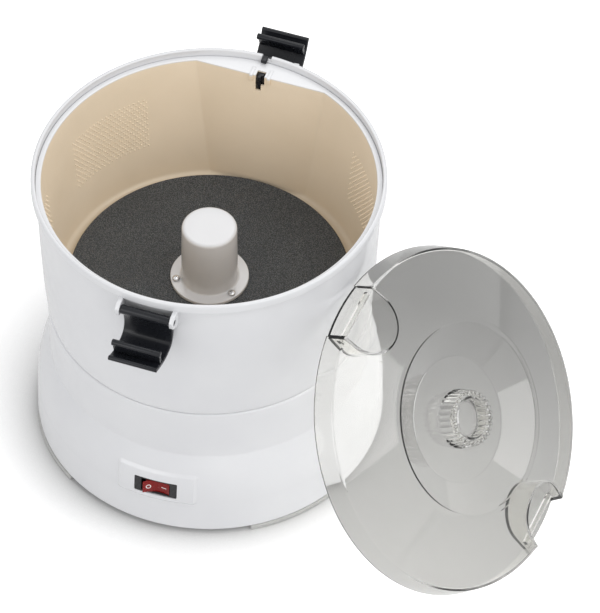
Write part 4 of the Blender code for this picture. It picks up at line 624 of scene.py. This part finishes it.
def makeSwitch():
    bm = bmesh.new()
    outline = roundedRectangle(seat["width"], seat["tall"], 0.9)
    addPrism(bm, outline, -seat["depth"], 0, switchSeat @ inwards, edge=0.45)
    housing = newPiece("switchHousing", bm, "ribbed")
    well = bmesh.new()
    outline = roundedRectangle(2 * rocker["wellHalf"], rocker["wellTall"], 0.7)
    addPrism(well, outline, -rocker["wellDepth"], 1, switchSeat @ inwards)
    cut(housing, well)
    ridden(housing, "machine", "grey_plastic", "switch_housing")

    half = rocker["half"]
    spans = 36
    face = [(half * (2 * i / spans - 1), rockerFace(half * (2 * i / spans - 1))) for i in range(spans + 1)]
    under = softPath([(half, rocker["belly"] / 2, 1.2), (half / 2, rocker["belly"], 2),
                      (-half / 2, rocker["belly"], 2), (-half, rocker["belly"] / 2, 1.2)])
    tall = rocker["tall"] / 2
    bm = addPrism(bmesh.new(), face[::-1] + under[::-1], -tall, tall, rockerSeat, 0.4)
    ridden(newPiece("switchRocker", bm, "red"), "rocker", "red_plastic", "switch_rocker")

    mark, ring, thick = rocker["markOffset"], rocker["ringRadius"], rocker["markWidth"]
    proud, sunk = rocker["markProud"], rocker["markSunk"]

    def onFace(radius, angle, depth):
        x = radius * cos(angle) - mark
        return Vector((x, rockerFace(x) + depth, radius * sin(angle)))

    loop = [(ring, sunk), (ring, -proud), (ring - thick, -proud), (ring - thick, sunk)]
    bm = addTurned(bmesh.new(), loop, evenAngles(40), placing=onFace, matrix=rockerSeat)
    across = [mark + ring * (i / 4 - 1) for i in range(9)]
    outline = [(x, rockerFace(x) - proud) for x in across]
    outline += [(x, rockerFace(x) + sunk) for x in reversed(across)]
    addPrism(bm, outline, -thick / 2, thick / 2, rockerSeat)
    ridden(newPiece("switchMarks", bm, "mark"), "rocker", "white_plastic")


makeSwitch()
print("switch made")


# Bowl: drum with its rim and ears, and the liner

drum = dict(
    foot=110.3, top=116.6, wall=1.7, swell=0.45, seam=109.6, rimTop=228, rim=119.7, rimInner=116.8,
    rimHeight=6.5, undercut=1.5, flangeInner=98, flange=2.6, ledge=220.9, clipHalf=17, earGap=0.4, ear=3,
    hingeRing=123.6, hingeHeight=217, trunnionHole=2.2, trunnionReach=22,
    notch=((-3.5, 112.8, 224), (3.5, 121, 229.5)), lug=((-3.4, 114, 223.8), (0.6, 119, 226.6)),
)


def drumRadius(height):
    rise = drum["rimTop"] - drum["rimHeight"] - drum["seam"]
    share = max(0.0, min(1.0, (height - drum["seam"]) / rise))
    return drum["foot"] + (drum["top"] - drum["foot"]) * share ** drum["swell"]


def makeDrum():
    seam, wallTop = drum["seam"], drum["rimTop"] - drum["rimHeight"] - drum["undercut"]
    flangeTop = seam + drum["flange"]
    count = 26
    heights = [seam + 0.6 + (wallTop - seam - 0.6) * (i / count) ** 1.6 for i in range(count, -1, -1)]
    profile = [(drum["rimInner"], drum["rimTop"], 0.9), (drum["rim"], drum["rimTop"], 1.4),
               (drum["rim"], drum["rimTop"] - drum["rimHeight"], 0.8)]
    profile += [(drumRadius(z), z) for z in heights]
    profile += [(drum["foot"], seam, 0.3), (drum["flangeInner"], seam), (drum["flangeInner"], flangeTop, 0.5)]
    profile += [(drumRadius(flangeTop) - drum["wall"], flangeTop, 1.2)]
    profile += [(drumRadius(z) - drum["wall"], z) for z in (116, 122, 132, 145, 160, 178, 198)]
    profile += [(drum["top"] - drum["wall"], drum["ledge"]), (drum["rimInner"], drum["ledge"])]
    shell = turnedPiece("bowlDrum", "white", profile, evenAngles(240))

    ears = bmesh.new()
    outline = softPath([(114.6, 221.9), (119.5, 221.9), (123.8, 221.7, 2.4), (127.1, 218.4, 1.8),
                        (126.6, 213.2, 1.8), (122.4, 210.6, 2.0), (117.5, 207.5, 1.5), (114.2, 205.5)])
    near = drum["clipHalf"] + drum["earGap"]
    for facing in (0, pi):
        for side in (1, -1):
            low, high = sorted((side * near, side * (near + drum["ear"])))
            addPrism(ears, outline, low, high, Matrix.Rotation(facing, 4, "Z") @ sideways, edge=0.45)
    fused(shell, ears)

    holes = bmesh.new()
    for side in (1, -1):
        place = moved(y=side * drum["hingeRing"], z=drum["hingeHeight"]) @ Matrix.Rotation(pi / 2, 4, "Y")
        reach = drum["trunnionReach"]
        addRod(holes, drum["trunnionHole"], -reach, reach, matrix=place, steps=28)
    for at in ringPlaces("screw"):
        addRod(holes, base["pilot"], seam - overrun, flangeTop + overrun, at, 16)
    addRod(holes, base["rodHole"], seam - overrun, flangeTop + overrun, (0, base["rodRing"]), 16)
    addBox(holes, *drum["notch"], edge=0.4)
    cut(shell, holes)
    ridden(shell, "machine", "white_plastic", "bowl_shell")

    lug = addBox(bmesh.new(), *drum["lug"], edge=0.5)
    ridden(newPiece("rimLug", lug, "black"), "machine", "black_plastic")


liner = dict(
    top=222.8, radius=113, floorRadius=104.5, wall=1.6, flange=1.6, flangeRadius=116.5, floor=118.5,
    floorThickness=2, bore=8.8, chimney=11, chimneyTop=150, facetTop=103, facetFloor=98.5, slot=6.4,
    slotLow=208.6, slotStep=0.7, slotStepHeight=214, slotSkin=104.6, tabOffset=6.3, tabWidth=2.2,
    tabLow=217.2, tabProud=1.3,
)
studs = dict(
    azimuths=(-120, -60, 0, 60, 120), rows=18, columns=18, rowPitch=2.48, columnPitch=1.95, centre=173.6,
    radius=0.75, height=0.62,
)


def linerRadius(height):
    share = (height - liner["floor"]) / (liner["top"] - liner["floor"])
    return liner["floorRadius"] + (liner["radius"] - liner["floorRadius"]) * share


def facetDistance(height):
    share = (height - liner["floor"]) / (liner["top"] - liner["floor"])
    return liner["facetFloor"] + (liner["facetTop"] - liner["facetFloor"]) * share


def linerSurface(radius, azimuth, height):
    # the wall at the back is held in to the flat facet
    inset = radius - linerRadius(height)
    back = -cos(azimuth)
    if inset < liner["wall"] + 0.2 and back > 0:
        radius = min(radius, (facetDistance(height) + inset) / back)
    return roundPoint(radius, azimuth, height)


def makeLiner():
    top, floor = liner["top"], liner["floor"]
    low = top - liner["flange"]
    under = floor - liner["floorThickness"]
    corners = {pi + side * radians(17.5 + 0.35 * i) for side in (1, -1) for i in range(24)}
    angles = sorted(corners | set(evenAngles(200)))
    inner = [(linerRadius(z), z) for z in (216, 208, 198, 188, 178, 168, 158, 148, 138, 130, 126)]
    flange = liner["flangeRadius"]
    profile = [(liner["radius"], top, 0.5), (flange, top, 0.3), (flange, low, 0.3),
               (linerRadius(low) + liner["wall"], low)]
    profile += [(linerRadius(z) + liner["wall"], z) for z in (205, 185, 165, 145, 128)]
    profile += [(linerRadius(under) + liner["wall"], under, 1.2), (60, under), (liner["chimney"], under),
                (liner["chimney"], drum["seam"], 0.3), (liner["bore"], drum["seam"]),
                (liner["bore"], liner["chimneyTop"], 0.4), (liner["chimney"], liner["chimneyTop"], 0.4),
                (liner["chimney"], floor, 1.5), (40, floor), (75, floor), (linerRadius(floor), floor, 5.0)]
    profile += inner[::-1]
    shell = turnedPiece("bowlLiner", "liner", profile, angles, 6, placing=linerSurface)
    tabs = bmesh.new()
    front = facetDistance(liner["tabLow"]) - liner["tabProud"]
    for side in (1, -1):
        across = sorted(side * (liner["tabOffset"] + end * liner["tabWidth"] / 2) for end in (1, -1))
        addBox(tabs, (across[0], front, liner["tabLow"]), (across[1], 110, top + 0.7), edge=0.4)
    fused(shell, tabs)
    half, low, step = liner["slot"] / 2, liner["slotLow"], liner["slotStep"]
    outline = [(-half, low), (step, low), (step, liner["slotStepHeight"]), (half, liner["slotStepHeight"]),
               (half, top + 2), (-half, top + 2)]
    cut(shell, addPrism(bmesh.new(), outline, -liner["slotSkin"] - 0.4, -101, inwards))
    cut(shell, addBox(bmesh.new(), (-half, liner["slotSkin"], low), (half, 108, top + 2)))
    ridden(shell, "machine", "liner_plastic", "bowl_liner")


def makeStuds():
    # staggered fields of flattened balls on the liner's wall
    ball = bmesh.new()
    bmesh.ops.create_uvsphere(ball, u_segments=8, v_segments=5, radius=studs["radius"] * mm)
    bmesh.ops.scale(ball, verts=ball.verts, vec=(1, studs["height"] / studs["radius"], 1))
    places = []
    for azimuth in studs["azimuths"]:
        for row in range(studs["rows"]):
            height = studs["centre"] + studs["rowPitch"] * (row - (studs["rows"] - 1) / 2)
            for column in range(studs["columns"]):
                turn = column - (studs["columns"] - 1) / 2 + (row % 2 - 0.5) / 2
                turn = radians(azimuth + studs["columnPitch"] * turn)
                places.append(roundPoint(linerRadius(height), turn, height))
    # the studs share the liner's painted warm reflection
    field = grown("linerStuds", places, newPiece("stud", ball, "liner", 180), "liner", 1.0)
    ridden(smoothed(field, 180), "machine", "liner_plastic")


makeDrum()
makeLiner()
makeStuds()
print("bowl made")


# Interlock pin behind the facet

pin = dict(
    radius=1.8, ring=106.2, low=99.7, collarLow=128.8, collar=3.1, top=214, headTop=221.5, travel=3,
    shoulder=2.4, headLow=212.2,
    head=[(-2, 102.6), (0.4, 102.6), (0.4, 104.9), (2, 104.9), (2, 108), (-2, 108)],
)


def makePin():
    foot, low = (0, base["rodRing"]), pin["collarLow"]
    bm = addRod(bmesh.new(), pin["radius"], low, pin["top"], (0, pin["ring"]), 24)
    rod = newPiece("interlockPin", bm, "black")
    fused(rod, addRod(bmesh.new(), pin["collar"], low, low + pin["shoulder"], foot, 24, 0.3))
    fused(rod, addRod(bmesh.new(), pin["radius"], pin["low"], low + 2, foot, 24, 0.3))
    fused(rod, addPrism(bmesh.new(), pin["head"], pin["headLow"], pin["headTop"], edge=0.35))
    ridden(rod, "interlock", "black_plastic", "interlock_rod")


def makeSpring():
    # the CAD's coil as a piece with a mesh of its own; the real coil shortens as the pin goes down
    bm = bmesh.new()
    bm.from_mesh(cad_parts["interlock_spring"].data)
    piece = newPiece("interlockSpring", bm, "bright", 60)
    ridden(piece, "machine", "bright_steel", "interlock_spring")
    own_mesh(piece)


makePin()
makeSpring()


# Peeling disc and hub cap

disc = dict(
    radius=97, hole=14, top=125, thickness=3.5, chamfer=0.9, waves=3, waveRing=62, waveLength=27,
    waveWidth=10, waveHeight=3.2, screwRing=23.3, screws=3,
)
hub = dict(
    radius=18.9, foot=19.6, top=176.3, rounding=2.6, wall=2.4, flangeRadius=27, flangeLow=125.3, flange=2.4,
    socket=11.5, socketLow=153, hex=8.2, hexTop=163.3,
)


def discSurface(radius, azimuth, height):
    place = roundPoint(radius, azimuth, height)
    if height < disc["top"] - 0.01:
        return place
    for i in range(disc["waves"]):
        turn = 2 * pi * i / disc["waves"] + pi / 2
        along = place.x * cos(turn) + place.y * sin(turn) - disc["waveRing"]
        across = place.y * cos(turn) - place.x * sin(turn)
        share = (along / disc["waveLength"]) ** 2 + (across / disc["waveWidth"]) ** 2
        if share < 1:
            place.z += disc["waveHeight"] * (1 - share) ** 1.1
    return place


def screwPlaces(height=0.0):
    turns = [2 * pi * (i + 0.5) / disc["screws"] for i in range(disc["screws"])]
    return [roundPoint(disc["screwRing"], turn, height) for turn in turns]


def makeDisc():
    top, low = disc["top"], disc["top"] - disc["thickness"]
    edge = disc["radius"] - disc["chamfer"]
    profile = [(disc["hole"], top)] + [(20 + i, top) for i in range(76)]
    profile += [(edge, top), (disc["radius"], top - disc["chamfer"], 0.3),
                (disc["radius"], low + disc["chamfer"], 0.3), (edge, low), (60, low), (disc["hole"], low)]
    plate = turnedPiece("peelingDisc", "abrasive", profile, evenAngles(300), placing=discSurface)
    holes = bmesh.new()
    for at in screwPlaces():
        addRod(holes, 1.6, low - overrun, top + overrun, at, 16)
    cut(plate, holes)
    ridden(plate, "disc", "abrasive_disc", "peeling_disc")

    flangeTop = hub["flangeLow"] + hub["flange"]
    inner = hub["radius"] - hub["wall"]
    profile = [(0, hub["top"]), (9, hub["top"] - 0.05), (hub["radius"], hub["top"], hub["rounding"]),
               (hub["radius"] + 0.2, 160), (hub["radius"] + 0.45, 142), (hub["foot"], flangeTop, 1.6),
               (hub["flangeRadius"], flangeTop, 0.7), (hub["flangeRadius"], hub["flangeLow"], 0.2),
               (hub["foot"] - hub["wall"], hub["flangeLow"]), (inner, hub["top"] - hub["wall"], 1.5),
               (hub["socket"], hub["top"] - hub["wall"]), (hub["socket"], hub["socketLow"], 0.5),
               (0, hub["socketLow"])]
    cap = turnedPiece("hubCap", "white", profile, evenAngles(96), 6, False)
    holes = addRod(bmesh.new(), hub["hex"], hub["socketLow"] - overrun, hub["hexTop"], steps=6)
    for at in screwPlaces():
        addRod(holes, 1.6, hub["flangeLow"] - overrun, flangeTop + overrun, at, 16)
    cut(cap, holes)
    ridden(cap, "disc", "white_plastic", "hub_cap")


makeDisc()
print("disc made")


# Screws that show: four under the base plate and three on the hub's flange

screw = dict(
    head=3.0, headHeight=1.3, shank=1.6, length=13.4, cross=2.8, crossWidth=0.8, crossDepth=0.9, seat=1.8,
)


def crossScrew(name, head, headHeight, shank, length, gap=0.3):
    # head upwards, its seat at height 0
    profile = [(0, headHeight + gap), (head * 0.45, headHeight + gap), (head, headHeight * 0.75 + gap, 0.6),
               (head, gap, 0.25), (shank, gap)]
    threads = 9
    for i in range(threads):
        z = -length * (i + 0.5) / threads * 0.9
        profile += [(shank, z), (shank * 0.82, z - length * 0.45 / threads)]
    profile += [(shank * 0.5, -length), (0, -length)]
    piece = turnedPiece(name, "bright", profile, evenAngles(24), 3, False)
    cross = bmesh.new()
    share = head / screw["head"]
    reach, half = screw["cross"] / 2 * share, screw["crossWidth"] / 2 * share
    outline = [(reach, -half), (reach, half), (half, half), (half, reach), (-half, reach), (-half, half),
               (-reach, half), (-reach, -half), (-half, -half), (-half, -reach), (half, -reach),
               (half, -half)]
    addPrism(cross, outline, headHeight + gap - screw["crossDepth"] * share, headHeight + gap + overrun)
    return cut(piece, cross)


def makeScrews():
    places = screwPlaces(hub["flangeLow"] + hub["flange"])
    ring = grown("discScrews", places, crossScrew("smallScrew", 2.6, 1.5, 1.3, 5.9), "bright")
    ridden(smoothed(ring), "disc", "bright_steel", "disc_screw_1", "disc_screw_2", "disc_screw_3")

    large = crossScrew("largeScrew", screw["head"], screw["headHeight"], screw["shank"], screw["length"])
    large.data.transform(Matrix.Rotation(pi, 4, "X"))
    ring = grown("baseScrews", ringPlaces("pillar", screw["seat"]), large, "bright")
    ridden(smoothed(ring), "machine", "bright_steel",
           "base_screw_1", "base_screw_2", "base_screw_3", "base_screw_4")


makeScrews()
print("screws made")


# Clips

clip = dict(
    half=17, wall=2.8, back=5.6, drop=27.2, reach=24.9, lipRise=5.4, hookReach=17.6, hookDrop=14.1, bar=2.2,
    bead=1.7, barrel=3.2, trunnion=1.9, trunnionEnd=20.4, rearTurn=34,
    backShares=[(0, 0), (0.62, 0.22), (1, 0.48), (1, 0.74), (0.45, 0.94)],
    lipShares=[(0.16, 0), (0.48, 0.12), (0.76, 0.52), (1, 1)],
)


def smoothRun(points, spans=8):
    ends = [points[0]] + list(points) + [points[-1]]
    path = []
    for a, b, c, d in zip(ends, ends[1:], ends[2:], ends[3:]):
        for i in range(spans):
            t = i / spans
            path.append(tuple(
                0.5 * (2 * q + (r - p) * t + (2 * p - 5 * q + 4 * r - s) * t ** 2
                       + (3 * q - p - 3 * r + s) * t ** 3)
                for p, q, r, s in zip(a, b, c, d)))
    return path + [points[-1]]


def strip(path, thickness, roundEnd=False):
    left = offsetPath(path, -thickness / 2)
    right = offsetPath(path, thickness / 2)
    tip = []
    if roundEnd:
        end, half = Vector(path[-1]), thickness / 2
        run = end - Vector(path[-2])
        turns = [atan2(run.y, run.x) + pi / 2 - pi * i / 8 for i in range(1, 8)]
        tip = [(end.x + half * cos(turn), end.y + half * sin(turn)) for turn in turns]
    return left + tip + right[::-1]


def makeClip(name, facing, turn, body, node):
    back = [(-across * clip["back"], -down * clip["drop"]) for across, down in clip["backShares"]]
    lip = [(out * clip["reach"], up * clip["lipRise"] - clip["drop"]) for out, up in clip["lipShares"]]
    hinge = (Matrix.Rotation(facing, 4, "Z") @ moved(y=drum["hingeRing"], z=drum["hingeHeight"])
             @ Matrix.Rotation(radians(turn), 4, "X") @ sideways)
    half = clip["half"]
    outline = strip(smoothRun(back + lip), clip["wall"], True)
    piece = newPiece(name, addPrism(bmesh.new(), outline, -half, half, hinge, edge=0.7, segments=4), "black")
    start = (clip["hookReach"] - clip["bar"], clip["lipRise"] / 2 - clip["drop"])
    end = (clip["hookReach"], -clip["hookDrop"])
    leg = addPrism(bmesh.new(), strip([start, end], clip["wall"]), -half + 0.6, half - 0.6, hinge, edge=0.5)
    fused(piece, leg)
    tip = (clip["reach"] - 0.2, clip["lipRise"] - clip["drop"])
    rods = [(clip["bar"], half, end), (clip["bead"], half, tip), (clip["barrel"], half, (0, 0)),
            (clip["trunnion"], clip["trunnionEnd"], (0, 0))]
    for radius, length, place in rods:
        fused(piece, addRod(bmesh.new(), radius, -length, length, place, 40, 0.5, hinge))
    ridden(piece, body, "black_plastic", node)


makeClip("frontClip", pi, 0, "front_clip", "front_clip")
makeClip("rearClip", 0, clip["rearTurn"], "rear_clip", "rear_clip")
print("clips made")


# Clear lid, drawn with its rim plane at height 0 and carried to where it leans

lid = dict(
    radius=118.9, corner=116.1, cornerHeight=15.4, rounding=1.8, crest=67, crestHeight=28.2, crestWidth=4,
    recess=42.6, recessHeight=17.7, wall=1.8, cupFoot=20, cup=18.5, cupTop=31, bore=13.4, well=11.5,
    wellHeight=24.5, flutes=28, fluteDepth=1.2, bead=1.35, pocketInner=81, pocketWidth=45, pocketFloor=3.2,
    railRing=109, rail=3, railHeight=5.5,
)
lidSeat = Matrix((
    (0.1106068, -0.6052535, 0.7883157, 0.1810193), (0.9804272, -0.0635493, -0.1863536, -0.0427919),
    (0.1628883, 0.7934951, 0.5863731, 0.0923148), (0, 0, 0, 1),
))


def lidOutside():
    crestIn, crestOut = lid["crest"] - lid["crestWidth"] / 2, lid["crest"] + lid["crestWidth"] / 2
    return [(lid["recess"], lid["recessHeight"]), (crestIn, lid["crestHeight"]),
            (crestOut, lid["crestHeight"] - 0.4),
            (lid["corner"], lid["cornerHeight"]), (lid["radius"], 0)]


def lidSurface(radius, azimuth, height):
    # the cup's outer wall is fluted
    inWall = lid["bore"] + 2.5 < radius < lid["cupFoot"] + 0.2
    if inWall and lid["recessHeight"] + 1 < height < lid["cupTop"] - 0.6:
        radius += lid["fluteDepth"] * (abs(cos(lid["flutes"] * azimuth / 2)) - 0.6)
    return roundPoint(radius, azimuth, height)


def pocketOutline(side, inset):
    half = lid["pocketWidth"] / 2 - inset
    middle = lid["pocketInner"] + lid["pocketWidth"] / 2
    turns = [pi * i / 40 for i in range(41)]
    arc = [(half * cos(turn), side * (middle - half * sin(turn))) for turn in turns]
    end = side * (lid["radius"] + 1)
    return [(half, end)] + arc + [(-half, end)]


def makeLid():
    outside = lidOutside()
    shape = [(0, lid["wellHeight"]), (lid["well"], lid["wellHeight"]), (lid["bore"], lid["cupTop"]),
             (lid["cup"], lid["cupTop"]), (lid["cupFoot"], lid["recessHeight"])] + outside
    roundings = [0, 0.8, 0.5, 0.9, 0.8, 1.2, 1.4, 1.4, lid["rounding"], 0.6]
    inside = offsetPath(shape, lid["wall"])
    inside[0] = (0, lid["wellHeight"] - lid["wall"])
    inside[-1] = (lid["radius"] - lid["wall"], 0)
    outer = [(*p, r) if r else p for p, r in zip(shape, roundings)]
    inner = [(*p, r) if r else p for p, r in zip(inside, roundings)]
    cupWall = [(lid["cup"] + 0.113 * k, lid["cupTop"] - k) for k in range(1, 13)]
    outer = outer[:4] + cupWall + outer[4:]
    angles = evenAngles(lid["flutes"] * 12)
    cover = turnedPiece("lid", "clear", outer + inner[::-1], angles, 5, False, placing=lidSurface)

    top = lid["crestHeight"]
    walls, rooms, holes, rails = (bmesh.new() for part in range(4))
    for side in (1, -1):
        addPrism(walls, pocketOutline(side, 0), lid["pocketFloor"] - lid["wall"], top + 4)
        addPrism(rooms, pocketOutline(side, lid["wall"]), lid["pocketFloor"], top + 6)
        addPrism(holes, pocketOutline(side, lid["wall"] / 2), -1, top + 6)
        across = lid["pocketWidth"] / 2 - 0.4
        middle, half = side * lid["railRing"], lid["rail"] / 2
        low = lid["railHeight"]
        addBox(rails, (-across, middle - half, low), (across, middle + half, low + lid["rail"]))
    cups = newPiece("cups", walls)
    cut(cups, rooms)
    envelope = [(0, 0), (0, top)] + lidOutside()[1:]
    solid = addTurned(bmesh.new(), envelope, angles, False)
    bmesh.ops.holes_fill(solid, edges=solid.edges)
    combined(cups, newPiece("envelope", solid), "INTERSECT")
    cut(cover, holes)
    combined(cover, cups, "UNION")
    fused(cover, rails)
    cover.data.transform(lidSeat)
    cover.visible_shadow = False
    ridden(smoothed(cover), "lid", "clear_plastic", "lid")

    bead = bmesh.new()
    bmesh.ops.create_icosphere(bead, subdivisions=2, radius=lid["bead"] * mm)
    bead = newPiece("bead", bead, "clear", 180)
    ring, high = lid["cup"] - 1.0, lid["cupTop"] + 0.25
    points = [roundPoint(ring, angle, high) for angle in evenAngles(lid["flutes"])]
    beads = grown("cupBeads", points, bead, "clear")
    beads.data.transform(lidSeat)
    ridden(beads, "lid", "clear_plastic")


makeLid()
print("lid made")


# Finishes of the CAD nodes that keep their own shape

nodeFinishes = {
    "white": ["base_plate"],
    "grey": ["microswitch"],
    "red": ["microswitch_button"],
    "black": ["motor_fan"],
    "seal": ["shaft_seal"],
    "sheet": ["drive_plate", "motor_bracket_upper", "motor_bracket_lower", "shaft_clip_ring"],
    "stack": ["motor_stator"],
    "copper": ["motor_coil"],
    "bronze": ["lower_bush", "upper_bush", "pinion"],
    "nylon": ["drive_gear"],
}
steelStarts = ("bowl_screw", "drive_plate_screw", "motor_screw", "motor_rotor", "output_shaft", "drive_dog")
for name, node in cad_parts.items():
    fitting = [finish for finish, names in nodeFinishes.items() if name in names]
    fitting += ["bright"] * name.startswith(steelStarts)
    if fitting:
        node.data.materials.clear()
        node.data.materials.append(finishes[fitting[0]])
print("kept nodes painted")


# Camera, floor and light

view = dict(
    place=(0.73959, -2.03200, 2.52868), look=(-0.209084, 0.630437, -0.747552), roll=0.921, lens=276.53,
)


def makeCamera():
    data = bpy.data.cameras.new("camera")
    data.sensor_fit = "VERTICAL"
    data.sensor_height = 36
    data.lens = view["lens"]
    data.clip_end = 50
    camera = placed("camera", data)
    camera.location = view["place"]
    camera.rotation_mode = "QUATERNION"
    aim = Vector(view["look"]).to_track_quat("-Z", "Y")
    camera.rotation_quaternion = aim @ Quaternion((0, 0, 1), radians(view["roll"]))
    bpy.context.scene.camera = camera


def makeFloor():
    bm = bmesh.new()
    bmesh.ops.create_grid(bm, x_segments=1, y_segments=1, size=12)
    bmesh.ops.translate(bm, verts=bm.verts, vec=(0, 0, -4.05 * mm))
    floor = newPiece("floor", bm)
    make = Shader("paleFloor")
    # seen directly the floor is evenly white, with a painted contact shadow taken from an occlusion node
    near = make.node("ShaderNodeAmbientOcclusion", {"Distance": 0.09}, samples=16).outputs["AO"]
    tone = make.blended(make.seenBy("Is Camera Ray"), 0.8, make.between(near, 0.5, 1.25, 0.5, 0.97))
    # painted shade: seen through the lid the floor is darker, more so towards the back
    behind = make.between(make.along("Y"), 0.50, 0.25, -0.12, 0.14)
    tone = make.blended(make.seenBy("Is Transmission Ray"), tone, behind)
    floor.data.materials.append(make.finish(tone, 0.9, Specular_IOR_Level=0.0))


def areaLight(name, place, size, power, aim=(0.05, 0, 0.1)):
    data = bpy.data.lights.new(name, "AREA")
    data.shape = "DISK"
    data.size = size
    data.energy = power
    light = placed(name, data)
    light.location = place
    light.rotation_mode = "QUATERNION"
    light.rotation_quaternion = (Vector(aim) - Vector(place)).to_track_quat("-Z", "Y")


def makeLight():
    make = Shader("studio", bpy.data.worlds.new("studio"), "Background")
    direct = make.seenBy("Is Camera Ray", "Is Glossy Ray", "Is Transmission Ray")
    make.put(make.last.inputs["Color"], make.blended(direct, 0.80, 1.0))
    bpy.context.scene.world = make.owner
    areaLight("keyRight", (1.70, -0.40, 1.85), 2.4, 27)
    areaLight("topBack", (-0.3, 1.4, 2.4), 1.4, 10)
    areaLight("fillLeft", (-1.0, -2.2, 1.3), 1.8, 15)


makeCamera()
makeFloor()
makeLight()
bpy.context.scene.view_settings.view_transform = "Standard"
print("camera, floor and light made")
